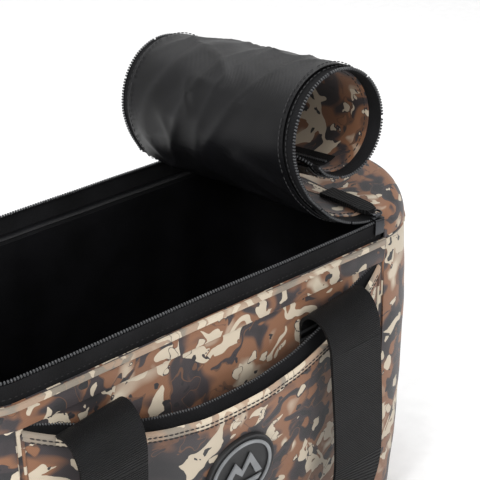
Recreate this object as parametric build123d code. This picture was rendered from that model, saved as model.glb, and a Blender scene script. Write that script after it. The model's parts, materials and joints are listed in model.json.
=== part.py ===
from build123d import *
import math
import os

# An insulated cooler bag of printed polyester over foam. Its lid is unzipped and rolled up towards the right end.
# Millimetres. Origin on the floor below the middle of the bag, +X along its length to the right, +Y to the back, +Z up.
# The lid is laid out flat over the opening first, then rolled up strip by strip about its fold lines.

# Bag shell
DEPTH = 205.0
LEFT_END = -193.0
RIGHT_END = 235.0
LEFT_CORNER_RADIUS = 34.0
RIGHT_CORNER_RADIUS = 60.0
LEFT_SEAM = -165.0
RIGHT_SEAM = 175.0
FRONT_MIDDLE = (LEFT_SEAM + RIGHT_SEAM) / 2
FABRIC = 1.5
GAP = 0.3
FOAM = 8.0
LINER = 1.0
BASE_TOP = 2.0
FOAM_BASE_TOP = 12.0
HEM_BOTTOM = 256.0
HEM_TOP = 272.0

# Zipper round the opening
TAPE = 1.2
TAPE_INSET = 2.0
TAPE_TOP = 286.0
COIL = 2.6
COIL_TOP = TAPE_TOP + COIL
ZIP_END = 174.0

# Lid, closed and flat
LID_TOP = 291.0
LID_THICKNESS = 6.0
LID_TAPE_TOP = 290.2
LID_EDGE_INSET = 4.5
LID_TAPE_WIDTH = 12.2
FOLD_YAW = 8.5
FOLD_REACH = 120.0
FOLD_CLEARANCE = 0.1
# Each fold: where it crosses the front edge of the lid, how far it is turned in plan, and how far the lid bends there.
FOLDS = [
    (163.0, FOLD_YAW, 22.0),
    (125.0, FOLD_YAW, 24.0),
    (87.0, 0.0, 28.0),
    (47.0, 0.0, 46.0),
    (7.0, 0.0, 52.0),
    (-33.0, 0.0, 52.0),
    (-73.0, 0.0, 52.0),
    (-105.0, 0.0, 54.0),
    (-137.0, 0.0, 46.0),
    (-165.0, 0.0, 32.0),
]

# Fixed deck of the right end, where the lid is sewn on
DECK_THICKNESS = 6.5
DECK_CROWN = 306.0
DECK_HALF_WIDTH = 98.2

# Front pocket
POCKET_LEFT = LEFT_SEAM + 5.0
POCKET_RIGHT = RIGHT_SEAM - 5.0
POCKET_BOTTOM = 22.0
POCKET_CORNER_Z = 250.0
POCKET_SAG = 41.0
POCKET_GAPE_BOTTOM = 6.0
POCKET_GAPE_TOP = 30.0
POCKET_SHEET = 1.8
POCKET_HEM = 12.0
POCKET_TAPE = 5.0

# Badge
BADGE_RADIUS = 33.0
BADGE_THICKNESS = 4.0
BADGE_Z = 146.0
EMBLEM_HEIGHT = 1.2

# Carry handles of 52 mm webbing
WEBBING = 52.0
HANDLE_MIDDLE = 1.0
HANDLE_SPREAD = 118.0
HANDLE_THICKNESS = 3.0
HANDLE_BEND = 44.0
GRIP_WEBBING = 28.0
GRIP_LENGTH = 104.0
GRIP_WALL = 3.0
HANDLE_BOTTOM = 36.0
FRONT_FOLD_Z = 249.5
FRONT_HANDLE_Y = -139.0
BACK_FOLD_Z = 253.5
BACK_HANDLE_Y = 108.5
FOLD_PLAY = 2.4

# Sliders and their webbing pulls
SLIDER_X = 169.5
SLIDER_LENGTH = 10.0
PULL_WIDTH = 16.0
PULL_LENGTH = 50.0
PULL_THICKNESS = 2.4
PULL_PIN_Z = 294.0
PULL_PIN_Y = 101.0

# Shoulder strap and its fittings
END_WEBBING = 50.0
END_WEBBING_TOP = 262.0
RING_RADIUS = 22.0
RING_WIRE = 2.5
RING_Z = 282.0
STRAP_RADIUS = 5.0

half_depth = DEPTH / 2


def plan(inset):
    """Outline of the bag seen from above, moved inwards by inset."""
    left = LEFT_END + inset
    right = RIGHT_END - inset
    sheet = Pos((left + right) / 2, 0) * Rectangle(right - left, DEPTH - 2 * inset)
    sheet = fillet(sheet.vertices().sort_by(Axis.X)[:2], LEFT_CORNER_RADIUS - inset)
    return fillet(sheet.vertices().sort_by(Axis.X)[-2:], RIGHT_CORNER_RADIUS - inset)


def slab(inset, bottom, top):
    """The whole outline as a block between two heights."""
    return extrude(Pos(0, 0, bottom) * plan(inset), top - bottom)


def ring(outer, inner, bottom, top):
    """A wall that follows the outline between two insets."""
    return slab(outer, bottom, top) - slab(inner, bottom, top)


def block(x_low, x_high, y_low, y_high, z_low, z_high):
    """A plain box between two corners."""
    middle = ((x_low + x_high) / 2, (y_low + y_high) / 2, (z_low + z_high) / 2)
    return Pos(*middle) * Box(x_high - x_low, y_high - y_low, z_high - z_low)


def split_walls(wall):
    """Cut a wall into its front, back, left and right lengths at the seams."""
    low, high = -10.0, 400.0
    front = wall & block(LEFT_SEAM + GAP, RIGHT_SEAM - GAP, -half_depth - 5, 0, low, high)
    back = wall & block(LEFT_SEAM + GAP, RIGHT_SEAM - GAP, 0, half_depth + 5, low, high)
    left = wall & block(LEFT_END - 5, LEFT_SEAM, -half_depth - 5, half_depth + 5, low, high)
    right = wall & block(RIGHT_SEAM, RIGHT_END + 5, -half_depth - 5, half_depth + 5, low, high)
    return front, back, left, right


def shell():
    """Printed outer panels, the foam behind them and the liner inside."""
    names = ("front", "back", "end_left", "end_right")
    skins = split_walls(ring(0, FABRIC, BASE_TOP + GAP, HEM_TOP))
    foams = split_walls(ring(FABRIC + GAP, FABRIC + GAP + FOAM, FOAM_BASE_TOP + GAP, HEM_BOTTOM))
    parts = {f"{name}_panel": skin for name, skin in zip(names, skins)}
    parts.update({f"foam_{name}": foam for name, foam in zip(names, foams)})
    parts["base_panel"] = slab(0, 0, BASE_TOP)
    parts["foam_base"] = slab(FABRIC + GAP, BASE_TOP + GAP, FOAM_BASE_TOP)
    outer = FABRIC + FOAM + 2 * GAP
    tub = slab(outer, FOAM_BASE_TOP + GAP, HEM_BOTTOM)
    parts["liner"] = tub - slab(outer + LINER, FOAM_BASE_TOP + GAP + LINER, HEM_BOTTOM)
    return parts


def rim():
    """Turned hem, zipper tape with its coil, and the binding inside the opening."""
    open_side = block(LEFT_END - 5, ZIP_END, -half_depth - 5, half_depth + 5, 0, 400)
    tape_inner = TAPE_INSET + TAPE
    coil_outer = TAPE_INSET + TAPE / 2 - COIL / 2
    binding_outer = tape_inner + GAP
    binding_inner = FABRIC + FOAM + 2 * GAP + LINER
    return {
        "rim_hem": ring(-TAPE, -0.1, HEM_BOTTOM, HEM_TOP) & open_side,
        "rim_tape": ring(TAPE_INSET, tape_inner, HEM_BOTTOM + GAP, TAPE_TOP) & open_side,
        "rim_coil": ring(coil_outer, coil_outer + COIL, TAPE_TOP, COIL_TOP) & open_side,
        "rim_binding": ring(binding_outer, binding_inner, HEM_BOTTOM + GAP, HEM_TOP - 2) & open_side,
    }


def fold_line(fold):
    """A fold's middle point and its direction, on the top face of the closed lid."""
    front_x, yaw, bend = fold
    turned = math.radians(yaw)
    middle = Vector(front_x - half_depth * math.tan(turned), 0, LID_TOP)
    return middle, Vector(-math.sin(turned), math.cos(turned), 0)


def fold_x(fold, y):
    """Where a fold line lies in X at a given Y."""
    middle, along = fold_line(fold)
    return middle.X + along.X / along.Y * y


def between_folds(right_fold, left_fold):
    """A tall block between two folds, or from a fold to beyond the free end."""
    right = [fold_x(right_fold, y) - FOLD_CLEARANCE for y in (-FOLD_REACH, FOLD_REACH)]
    left = [fold_x(left_fold, y) for y in (-FOLD_REACH, FOLD_REACH)] if left_fold else [LEFT_END - 10] * 2
    corners = [(right[0], -FOLD_REACH), (right[1], FOLD_REACH), (left[1], FOLD_REACH), (left[0], -FOLD_REACH)]
    return extrude(Pos(0, 0, 200) * make_face(Polyline(*corners, close=True)), 200)


def fold_turn(fold):
    """The turn about a fold that rolls the part of the lid left of it up and over."""
    middle, along = fold_line(fold)
    hinge = Plane(origin=middle, z_dir=along).location
    return hinge * Rot(0, 0, fold[2]) * hinge.inverse()


def rolled_places():
    """Place of each lid strip when the lid is rolled up."""
    place = Location()
    places = []
    for fold in FOLDS:
        place = place * fold_turn(fold)
        places.append(place)
    return places


def lid():
    """Foam-backed lid panel and its zipper tape, strip by strip."""
    panel = slab(LID_EDGE_INSET + LID_TAPE_WIDTH + GAP, LID_TOP - LID_THICKNESS, LID_TOP)
    tape = ring(LID_EDGE_INSET, LID_EDGE_INSET + LID_TAPE_WIDTH, LID_TAPE_TOP - TAPE, LID_TAPE_TOP)
    coil = ring(LID_EDGE_INSET, LID_EDGE_INSET + COIL, LID_TAPE_TOP - TAPE - COIL, LID_TAPE_TOP - TAPE)
    parts = {}
    for number, (fold, place) in enumerate(zip(FOLDS, rolled_places()), 1):
        strip = between_folds(fold, FOLDS[number] if number < len(FOLDS) else None)
        parts[f"lid_panel_{number:02d}"] = place * (panel & strip)
        parts[f"lid_tape_{number:02d}"] = place * ((tape + coil) & strip)
    return parts


def end_deck():
    """Crowned deck of the right end, from the first fold of the lid to the end panel."""
    top = LID_TOP - 1.0
    seam = RIGHT_SEAM + 1.0
    profile = Polyline(
        (120, top - DECK_THICKNESS), (120, top), (seam, top), (RIGHT_END - 15, DECK_CROWN),
        (RIGHT_END + 1, DECK_CROWN - 4), (RIGHT_END + 1, HEM_TOP + GAP), (seam, HEM_TOP + GAP),
        (seam, top - DECK_THICKNESS), close=True,
    )
    body = extrude(Plane.XZ * make_face(profile), half_depth + 5, both=True)
    arch = make_face(
        ThreePointArc((-half_depth, top), (0, DECK_CROWN + 1), (half_depth, top))
        + Polyline((half_depth, top), (half_depth, 250), (-half_depth, 250), (-half_depth, top))
    )
    body &= extrude(Plane.YZ * arch, 300)
    narrow = block(100, seam, -DECK_HALF_WIDTH, DECK_HALF_WIDTH, 200, 400)
    body &= slab(0, 200, 400) & (narrow + block(seam, RIGHT_END + 5, -half_depth, half_depth, 200, 400))
    left_of_fold = between_folds((FOLDS[0][0] + GAP, FOLDS[0][1], 0), None)
    return {"end_deck": body - left_of_fold}


def pocket_sheet():
    """Bowed pocket front that gapes towards its mouth, before its top edge is cut."""
    def section(height, gape):
        y = -half_depth - GAP
        outer = ThreePointArc((POCKET_LEFT, y - POCKET_SHEET), (FRONT_MIDDLE, y - POCKET_SHEET - gape),
                              (POCKET_RIGHT, y - POCKET_SHEET))
        inner = ThreePointArc((POCKET_LEFT, y), (FRONT_MIDDLE, y - gape), (POCKET_RIGHT, y))
        sides = [Line(outer @ 0, inner @ 0), Line(outer @ 1, inner @ 1)]
        return Pos(0, 0, height) * make_face(Curve() + [outer, inner, *sides])

    gapes = ((POCKET_BOTTOM, POCKET_GAPE_BOTTOM), (POCKET_CORNER_Z + POCKET_TAPE, POCKET_GAPE_TOP))
    return loft([section(height, gape) for height, gape in gapes], ruled=True)


def below_sag(raise_by):
    """Everything below the sagging mouth line, moved up by raise_by."""
    corner = POCKET_CORNER_Z + raise_by
    line = ThreePointArc((POCKET_LEFT - 1, corner), (FRONT_MIDDLE, corner - POCKET_SAG), (POCKET_RIGHT + 1, corner))
    sides = Polyline((POCKET_RIGHT + 1, corner), (POCKET_RIGHT + 1, 0), (POCKET_LEFT - 1, 0), (POCKET_LEFT - 1, corner))
    return extrude(Plane.XZ * make_face(line + sides), 200)


def pocket():
    """Pocket front, its turned hem and the half zipper along the mouth."""
    sheet = pocket_sheet()
    to_panel = below_sag(-POCKET_HEM)
    to_hem = below_sag(0)
    to_tape = below_sag(POCKET_TAPE)
    return {
        "pocket_panel": sheet & to_panel,
        "pocket_hem": (sheet & to_hem) - to_panel,
        "pocket_zip_tape": (sheet & to_tape) - to_hem,
    }


def badge():
    """Round rubber badge with a raised rim and two peaks over a wave line."""
    rise = POCKET_CORNER_Z + POCKET_TAPE - POCKET_BOTTOM
    share = (BADGE_Z - POCKET_BOTTOM) / rise
    gape = POCKET_GAPE_BOTTOM + share * (POCKET_GAPE_TOP - POCKET_GAPE_BOTTOM)
    lean = math.degrees(math.atan2(POCKET_GAPE_TOP - POCKET_GAPE_BOTTOM, rise))
    back = -half_depth - POCKET_SHEET - gape - 2 * GAP
    face = Plane(origin=(FRONT_MIDDLE, back, BADGE_Z), x_dir=(1, 0, 0), z_dir=(0, -1, 0)).location * Rot(lean, 0, 0)
    disc = extrude(Circle(BADGE_RADIUS), BADGE_THICKNESS)
    top = disc.edges().sort_by(Axis.Z)[-1:]
    disc = fillet(top, 1.2)
    ring_face = Circle(BADGE_RADIUS - 4) - Circle(BADGE_RADIUS - 6.5)
    peaks = make_face(Polyline((-19, -6), (-7, 13), (0, 3), (7, 17), (20, -6), close=True))
    valley = make_face(Polyline((-13, -6), (-7, 4), (0, -3), (7, 8), (14, -6), close=True))
    wave = make_face(Polyline((-20, -10), (20, -10), (17, -14), (-17, -14), close=True))
    emblem = extrude(Pos(0, 0, BADGE_THICKNESS) * (ring_face + (peaks - valley) + wave), EMBLEM_HEIGHT)
    return {"badge_disc": face * disc, "badge_emblem": face * emblem}


def handle(y, top):
    """A hanging carry handle: two webbing legs that narrow into the folded grip, and the grip's sleeve."""
    outer_x = HANDLE_SPREAD + WEBBING / 2
    inner_x = HANDLE_SPREAD - WEBBING / 2
    outer = RectangleRounded(2 * outer_x, 3 * outer_x, HANDLE_BEND + WEBBING / 2)
    inner = RectangleRounded(2 * inner_x, 4 * inner_x, HANDLE_BEND)
    outer = Pos(0, HANDLE_BOTTOM + 1.5 * outer_x) * outer
    inner = Pos(0, HANDLE_BOTTOM + GRIP_WEBBING + 2 * inner_x) * inner
    loop = outer - inner - Pos(0, top + 200) * Rectangle(4 * outer_x, 400)
    place = Pos(HANDLE_MIDDLE, y, 0) * Plane.XZ.location
    webbing = place * Pos(0, 0, -HANDLE_THICKNESS / 2) * extrude(loop, HANDLE_THICKNESS)
    middle = HANDLE_BOTTOM + GRIP_WEBBING / 2
    hole = HANDLE_THICKNESS + 2 * GAP
    sleeve = RectangleRounded(GRIP_WEBBING + 2 * GRIP_WALL, hole + 2 * GRIP_WALL, 4)
    sleeve -= Rectangle(GRIP_WEBBING + 2 * GAP, hole)
    grip = Plane.YZ.location * Rot(0, 0, 90) * extrude(sleeve, GRIP_LENGTH / 2, both=True)
    return webbing, Pos(HANDLE_MIDDLE, y, middle) * grip


def handle_anchors(wall_y, handle_y, bottom, fold_z):
    """The sewn end of each leg, flat on the wall and turned out at its top towards the handle."""
    side = math.copysign(1, handle_y)
    near = wall_y + side * GAP
    reach = handle_y + side * HANDLE_THICKNESS / 2
    ends = []
    for x in (HANDLE_MIDDLE - HANDLE_SPREAD, HANDLE_MIDDLE + HANDLE_SPREAD):
        low, high = x - WEBBING / 2, x + WEBBING / 2
        flat = sorted((near, near + side * HANDLE_THICKNESS))
        turned = sorted((near, reach))
        ends.append(block(low, high, *flat, bottom, fold_z + 1.5)
                    + block(low, high, *turned, fold_z - 1.5, fold_z + 1.5))
    return Compound(ends)


def handles():
    """Front handle out of the pocket mouth, back handle off the back panel."""
    front, front_grip = handle(FRONT_HANDLE_Y, FRONT_FOLD_Z - FOLD_PLAY)
    back, back_grip = handle(BACK_HANDLE_Y, BACK_FOLD_Z - FOLD_PLAY)
    return {
        "handle_front": front, "handle_front_grip": front_grip,
        "handle_back": back, "handle_back_grip": back_grip,
        "handle_front_anchors": handle_anchors(-half_depth, FRONT_HANDLE_Y, 130, FRONT_FOLD_Z),
        "handle_back_anchors": handle_anchors(half_depth, BACK_HANDLE_Y, 180, BACK_FOLD_Z),
    }


def slider(side):
    """Zipper slider astride the rim coil, and the webbing pull that lies on the deck."""
    low, high = SLIDER_X - SLIDER_LENGTH / 2, SLIDER_X + SLIDER_LENGTH / 2
    cheek = block(low, high, 101.6, 103.6, 277, COIL_TOP + 2.4)
    roof = block(low, high, 98.9, 103.6, COIL_TOP + 0.6, COIL_TOP + 2.4)
    lug = block(SLIDER_X - 4, SLIDER_X - 2, 99.2, 102.8, COIL_TOP + 2.4, PULL_PIN_Z + 1.6)
    lug += block(SLIDER_X + 2, SLIDER_X + 4, 99.2, 102.8, COIL_TOP + 2.4, PULL_PIN_Z + 1.6)
    body = fillet((cheek + roof).edges().filter_by(Axis.Y), 0.5) + lug
    eye = block(SLIDER_X - 1.6, SLIDER_X + 1.6, 94, 102.4, PULL_PIN_Z - 1.2, PULL_PIN_Z + 1.2)
    tab = block(SLIDER_X - PULL_WIDTH / 2, SLIDER_X + PULL_WIDTH / 2, 94 - PULL_LENGTH, 94,
                PULL_PIN_Z - PULL_THICKNESS / 2, PULL_PIN_Z + PULL_THICKNESS / 2)
    tab = fillet(tab.edges().filter_by(Axis.Z), 2.5)
    pull = eye + tab
    if side < 0:
        return body.mirror(Plane.XZ), pull.mirror(Plane.XZ)
    return body, pull


def sliders():
    """One slider parked at each end of the opening's zipper."""
    front, front_pull = slider(-1)
    back, back_pull = slider(1)
    return {"slider_front": front, "pull_front": front_pull, "slider_back": back, "pull_back": back_pull}


def end_fitting(side):
    """Vertical webbing on an end panel, its D-ring and the snap hook of the strap."""
    wall = RIGHT_END if side > 0 else LEFT_END
    turn = Pos(wall, 0, 0) * Rot(0, 0, 0 if side > 0 else 180)
    half = END_WEBBING / 2
    near = TAPE + GAP
    band = block(near, near + 2.0, -half, half, 24, END_WEBBING_TOP)
    ring_x = 6.5
    wire = Circle(RING_RADIUS + RING_WIRE) - Circle(RING_RADIUS - RING_WIRE)
    flat = Pos(0, -RING_RADIUS) * Rectangle(100, RING_RADIUS)
    bar = Pos(0, -RING_RADIUS / 2 - RING_WIRE) * Rectangle(2 * RING_RADIUS - 4, 2 * RING_WIRE)
    d_ring = extrude(Plane.YZ * (wire - flat + bar), RING_WIRE, both=True)
    d_ring = Pos(ring_x, 0, RING_Z) * d_ring
    loop = block(near + 2.0, ring_x + 6, -half + 12, half - 12, END_WEBBING_TOP - 16, END_WEBBING_TOP)
    loop -= Pos(ring_x, 0, RING_Z - RING_RADIUS / 2 - RING_WIRE) * Box(5.6, 60, 5.6)
    hook_low = RING_Z + RING_RADIUS + RING_WIRE + 0.5
    hook = block(ring_x - 5, ring_x + 5, -9, 9, hook_low, hook_low + 24)
    hook = fillet(hook.edges().filter_by(Axis.X), 6)
    return turn * (band + loop), turn * d_ring, turn * hook


def strap_route():
    """Route of the shoulder strap from the right hook, down and along the floor behind the bag, to the left hook."""
    return [
        (241.5, 9, 322), (250, 34, 330), (256, 68, 318), (252, 100, 280), (240, 122, 225),
        (222, 133, 160), (204, 139, 95), (184, 142, 40), (140, 145, 8), (60, 148, 7), (-30, 146, 7),
        (-100, 143, 9), (-146, 139, 38), (-164, 134, 95), (-180, 126, 160), (-196, 108, 222),
        (-206, 76, 276), (-206, 40, 318), (-199.5, 9, 322),
    ]


def strap():
    """Shoulder strap and the adjuster that slides on it."""
    points = [Vector(*point) for point in strap_route()]
    radii = []
    for before, corner, after in zip(points, points[1:], points[2:]):
        turn = math.radians((corner - before).get_angle(after - corner))
        short = min((corner - before).length, (after - corner).length)
        radii.append(0.45 * short / math.tan(turn / 2))
    path = FilletPolyline(*points, radius=radii)
    print("strap length", round(path.length), "smallest bend radius", round(min(radii)))
    section = Plane(origin=path @ 0, z_dir=path % 0) * Circle(STRAP_RADIUS)
    tube = sweep(section, path=path)
    place = Location(Plane(origin=(213, 136, 127.5), z_dir=(points[6] - points[5])))
    adjuster = Box(44, 17, 30) - Cylinder(STRAP_RADIUS + GAP, 40)
    return {"shoulder_strap": tube, "strap_adjuster": place * adjuster}


def end_fittings():
    """Webbing, D-ring and hook at both ends."""
    parts = {}
    for name, side in (("right", 1), ("left", -1)):
        band, d_ring, hook = end_fitting(side)
        parts[f"end_webbing_{name}"] = band
        parts[f"d_ring_{name}"] = d_ring
        parts[f"strap_hook_{name}"] = hook
    return parts


if __name__ == "__main__":
    os.makedirs("parts", exist_ok=True)
    bag = {}
    for group in (shell, rim, end_deck, lid, pocket, badge, handles, sliders, end_fittings, strap):
        bag.update(group())
    for name, solid in bag.items():
        export_step(solid, f"parts/{name}.step")
    print(len(bag), "nodes")
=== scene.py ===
# %% [markdown]
# # A soft insulated cooler bag with its lid rolled open
#
# The bag is a rounded box of printed polyester over foam. A zipper runs round three sides of the opening, so the
# lid can be rolled back like a carpet towards the right end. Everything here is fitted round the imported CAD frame:
# sizes are read from its nodes, the lid's folds from its joints, and all lengths are in metres.

# %% Load the frame
import bpy
import json
import math
import numpy as np
from mathutils import Matrix, Vector, noise


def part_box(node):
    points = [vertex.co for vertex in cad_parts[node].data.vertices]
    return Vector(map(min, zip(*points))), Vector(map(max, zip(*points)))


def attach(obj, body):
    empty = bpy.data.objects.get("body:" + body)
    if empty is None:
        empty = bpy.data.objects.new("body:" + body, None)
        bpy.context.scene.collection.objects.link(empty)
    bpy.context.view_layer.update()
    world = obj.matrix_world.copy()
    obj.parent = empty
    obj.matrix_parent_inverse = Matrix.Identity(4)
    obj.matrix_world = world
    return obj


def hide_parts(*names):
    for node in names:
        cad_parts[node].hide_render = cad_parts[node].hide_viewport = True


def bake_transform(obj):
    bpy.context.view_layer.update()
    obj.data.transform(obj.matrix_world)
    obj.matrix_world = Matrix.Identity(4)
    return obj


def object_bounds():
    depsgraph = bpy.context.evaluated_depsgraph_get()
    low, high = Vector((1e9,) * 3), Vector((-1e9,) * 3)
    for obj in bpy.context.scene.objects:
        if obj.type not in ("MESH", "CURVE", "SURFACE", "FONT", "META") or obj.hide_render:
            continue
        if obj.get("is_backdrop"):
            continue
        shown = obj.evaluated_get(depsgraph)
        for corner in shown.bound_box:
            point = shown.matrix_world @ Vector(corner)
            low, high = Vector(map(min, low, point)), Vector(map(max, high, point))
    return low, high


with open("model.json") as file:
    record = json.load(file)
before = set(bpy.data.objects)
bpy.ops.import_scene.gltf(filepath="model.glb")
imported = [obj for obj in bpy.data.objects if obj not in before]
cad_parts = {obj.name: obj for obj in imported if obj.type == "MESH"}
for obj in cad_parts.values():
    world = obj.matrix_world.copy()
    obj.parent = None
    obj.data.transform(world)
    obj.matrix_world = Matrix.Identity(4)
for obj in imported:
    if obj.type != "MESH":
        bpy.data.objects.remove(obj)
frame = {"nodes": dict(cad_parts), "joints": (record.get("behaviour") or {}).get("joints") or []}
cad_low, cad_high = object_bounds()
print("CAD box", [round(v, 3) for v in cad_low], [round(v, 3) for v in cad_high])

# %% [markdown]
# ## Driving sizes
#
# The outline seen from above is a rectangle with rounded ends. Its straight sides are worked out once from the
# base panel, its corner radii are given, and every wall, hem and zipper follows it.

# %% Sizes taken from the frame
MM = 0.001
base_low, base_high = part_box("base_panel")
LEFT, RIGHT, HALF = base_low.x, base_high.x, base_high.y
LEFT_RADIUS, RIGHT_RADIUS = 34 * MM, 60 * MM
HEM_LOW, HEM_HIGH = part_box("rim_hem")[0].z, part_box("rim_hem")[1].z
TAPE_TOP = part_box("rim_tape")[1].z
COIL_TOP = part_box("rim_coil")[1].z
ZIP_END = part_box("rim_coil")[1].x
PITCH = 2.35 * MM
print("outline", round(LEFT, 3), "to", round(RIGHT, 3), "half depth", round(HALF, 4))

# %% [markdown]
# ## Camera, floor and light
#
# The camera stands at the front left, above the bag, on a long lens. It aims a little behind and below the front
# right corner of the zipper. A pale floor and big soft lights keep the shadows open, as in a product studio.

# %% Camera
corner = Vector((ZIP_END - 11 * MM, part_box("rim_coil")[0].y + 1.3 * MM, COIL_TOP))
AZIMUTH, ELEVATION, DISTANCE = math.radians(41.44), math.radians(27.69), 1.0
aim = corner + Vector((-59.6, 85.2, -28.2)) * MM
level = math.cos(ELEVATION)
back = Vector((-math.sin(AZIMUTH) * level, -math.cos(AZIMUTH) * level, math.sin(ELEVATION)))
bpy.ops.object.camera_add(location=aim + back * DISTANCE)
camera = bpy.context.object
camera.rotation_mode = "QUATERNION"
camera.rotation_quaternion = (-back).to_track_quat("-Z", "Y")
camera.data.lens, camera.data.sensor_width = 93.9, 36
bpy.context.scene.camera = camera


# %% Floor and lights
def lamp(name, place, target, size, power):
    """A soft square lamp that points at a target."""
    bpy.ops.object.light_add(type="AREA", location=place)
    light = bpy.context.object
    light.name = name
    light.data.size, light.data.energy = size, power
    light.rotation_euler = (Vector(target) - Vector(place)).to_track_quat("-Z", "Y").to_euler()
    return light


bpy.ops.mesh.primitive_plane_add(size=12, location=(0, 0, -0.0005))
floor = bpy.context.object
floor.name = "studio_floor"
floor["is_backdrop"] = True
lamp("key_light", (-1.3, -0.5, 1.5), (0, 0, 0.25), 0.8, 27)
lamp("front_light", (0.3, -1.8, 1.0), (0, 0, 0.2), 1.2, 14)
lamp("top_light", (0.3, 0.6, 1.9), (0, 0, 0.3), 1.4, 18)
world = bpy.data.worlds.new("studio")
world.use_nodes = True
world.node_tree.nodes["Background"].inputs["Color"].default_value = (1, 1, 1, 1)
world.node_tree.nodes["Background"].inputs["Strength"].default_value = 0.75
bpy.context.scene.world = world
bpy.context.scene.view_settings.view_transform = "Standard"

# %% [markdown]
# ## Shared surface effects
#
# Three effects serve many finishes: the fine over and under of a weave, the cross ribs of webbing, and the soft
# unevenness of worn cloth. Each is a node group that gives out a height or a mask, built once. Cloth reads its own
# UV map, which every cloth piece carries in metres, so a pattern bends with the sheet when the lid rolls.


# %% Node helpers
def new_group(name, inputs, outputs):
    """A shader node group with named float inputs and outputs, and its two end nodes."""
    group = bpy.data.node_groups.new(name, "ShaderNodeTree")
    group.interface.new_socket("Vector", in_out="INPUT", socket_type="NodeSocketVector")
    for socket, value in inputs:
        group.interface.new_socket(socket, in_out="INPUT", socket_type="NodeSocketFloat").default_value = value
    for socket, kind in outputs:
        group.interface.new_socket(socket, in_out="OUTPUT", socket_type=kind)
    return group, group.nodes.new("NodeGroupInput"), group.nodes.new("NodeGroupOutput")


def add(tree, kind, links=None, **settings):
    """A node with settings, its inputs fed from a dict of socket name to value or output."""
    node = tree.nodes.new(kind)
    for key, value in settings.items():
        setattr(node, key, value)
    for socket, source in (links or {}).items():
        if isinstance(source, bpy.types.NodeSocket):
            tree.links.new(source, node.inputs[socket])
        else:
            node.inputs[socket].default_value = source
    return node


def maths(tree, operation, first, second=0.0):
    """The output of a math node."""
    return add(tree, "ShaderNodeMath", {0: first, 1: second}, operation=operation).outputs[0]


def ramp(tree, value, stops, sharp=False):
    """A colour ramp's output, from a list of (position, colour)."""
    node = add(tree, "ShaderNodeValToRGB", {"Fac": value})
    node.color_ramp.interpolation = "CONSTANT" if sharp else "LINEAR"
    points = node.color_ramp.elements
    while len(points) < len(stops):
        points.new(0.5)
    for point, (position, colour) in zip(points, stops):
        point.position = position
        point.color = (*colour, 1) if len(colour) == 3 else (colour[0],) * 3 + (1,)
    return node.outputs["Color"]


def srgb(red, green, blue):
    """A colour given in display values from 0 to 255, as linear light."""
    return tuple(((c / 255 + 0.055) / 1.055) ** 2.4 if c > 10 else c / 255 / 12.92 for c in (red, green, blue))


# %% Weave, rib and wear groups
def make_weave():
    """Over and under threads: the height of a plain weave, Threads per metre."""
    group, given, out = new_group("weave", [("Threads", 1200)], [("Height", "NodeSocketFloat")])
    split = add(group, "ShaderNodeSeparateXYZ", {0: given.outputs["Vector"]})
    waves = []
    for axis in ("X", "Y"):
        count = maths(group, "MULTIPLY", split.outputs[axis], given.outputs["Threads"])
        angle = maths(group, "MULTIPLY", count, math.pi)
        waves.append(maths(group, "SINE", angle))
    group.links.new(maths(group, "MULTIPLY", *waves), out.inputs["Height"])
    return group


def make_ribs():
    """Cross ribs of webbing, along the Y of the UV, with finer ribs along its length."""
    group, given, out = new_group("ribs", [("Ribs", 620)], [("Height", "NodeSocketFloat")])
    split = add(group, "ShaderNodeSeparateXYZ", {0: given.outputs["Vector"]})
    across = maths(group, "MULTIPLY", maths(group, "MULTIPLY", split.outputs["Y"], given.outputs["Ribs"]), math.tau)
    fine = maths(group, "MULTIPLY", maths(group, "MULTIPLY", split.outputs["X"], 900.0), math.tau)
    rib = maths(group, "SINE", across)
    twill = maths(group, "MULTIPLY", maths(group, "SINE", fine), 0.25)
    group.links.new(maths(group, "ADD", rib, twill), out.inputs["Height"])
    return group


def make_wear():
    """A slow cloudy mask from 0 to 1, for faded and dusty places."""
    group, given, out = new_group("wear", [("Scale", 18)], [("Mask", "NodeSocketFloat")])
    cloud = add(group, "ShaderNodeTexNoise", {
        "Vector": given.outputs["Vector"], "Scale": given.outputs["Scale"], "Detail": 4.0})
    group.links.new(cloud.outputs["Fac"], out.inputs["Mask"])
    return group


weave_group, rib_group, wear_group = make_weave(), make_ribs(), make_wear()
print("node groups", [g.name for g in bpy.data.node_groups])

# %% [markdown]
# ## Finishes
#
# Every finish is a Principled shader with its own colour, roughness and bump. The helper below lays a cloth or a
# moulded finish: a base colour that varies with the wear mask, and a bump from the weave or the ribs.


# %% Material helpers
def start_material(name, roughness=0.6, metallic=0.0):
    """A new material's node tree, its Principled node and the UV output."""
    material = bpy.data.materials.new(name)
    material.use_nodes = True
    tree = material.node_tree
    shader = tree.nodes["Principled BSDF"]
    shader.inputs["Roughness"].default_value = roughness
    shader.inputs["Metallic"].default_value = metallic
    return material, tree, shader


def grouped(tree, group, vector, **values):
    """A placed node group, fed with a vector and its own values."""
    node = tree.nodes.new("ShaderNodeGroup")
    node.node_tree = group
    tree.links.new(vector, node.inputs["Vector"])
    for key, value in values.items():
        node.inputs[key].default_value = value
    return node.outputs[0]


def bump(tree, shader, height, strength, distance, below=None):
    """Feeds a height into the shader's normal, on top of another bump if given."""
    node = add(tree, "ShaderNodeBump", {"Height": height, "Strength": strength, "Distance": distance})
    if below is not None:
        tree.links.new(below, node.inputs["Normal"])
    tree.links.new(node.outputs["Normal"], shader.inputs["Normal"])
    return node.outputs["Normal"]


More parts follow.
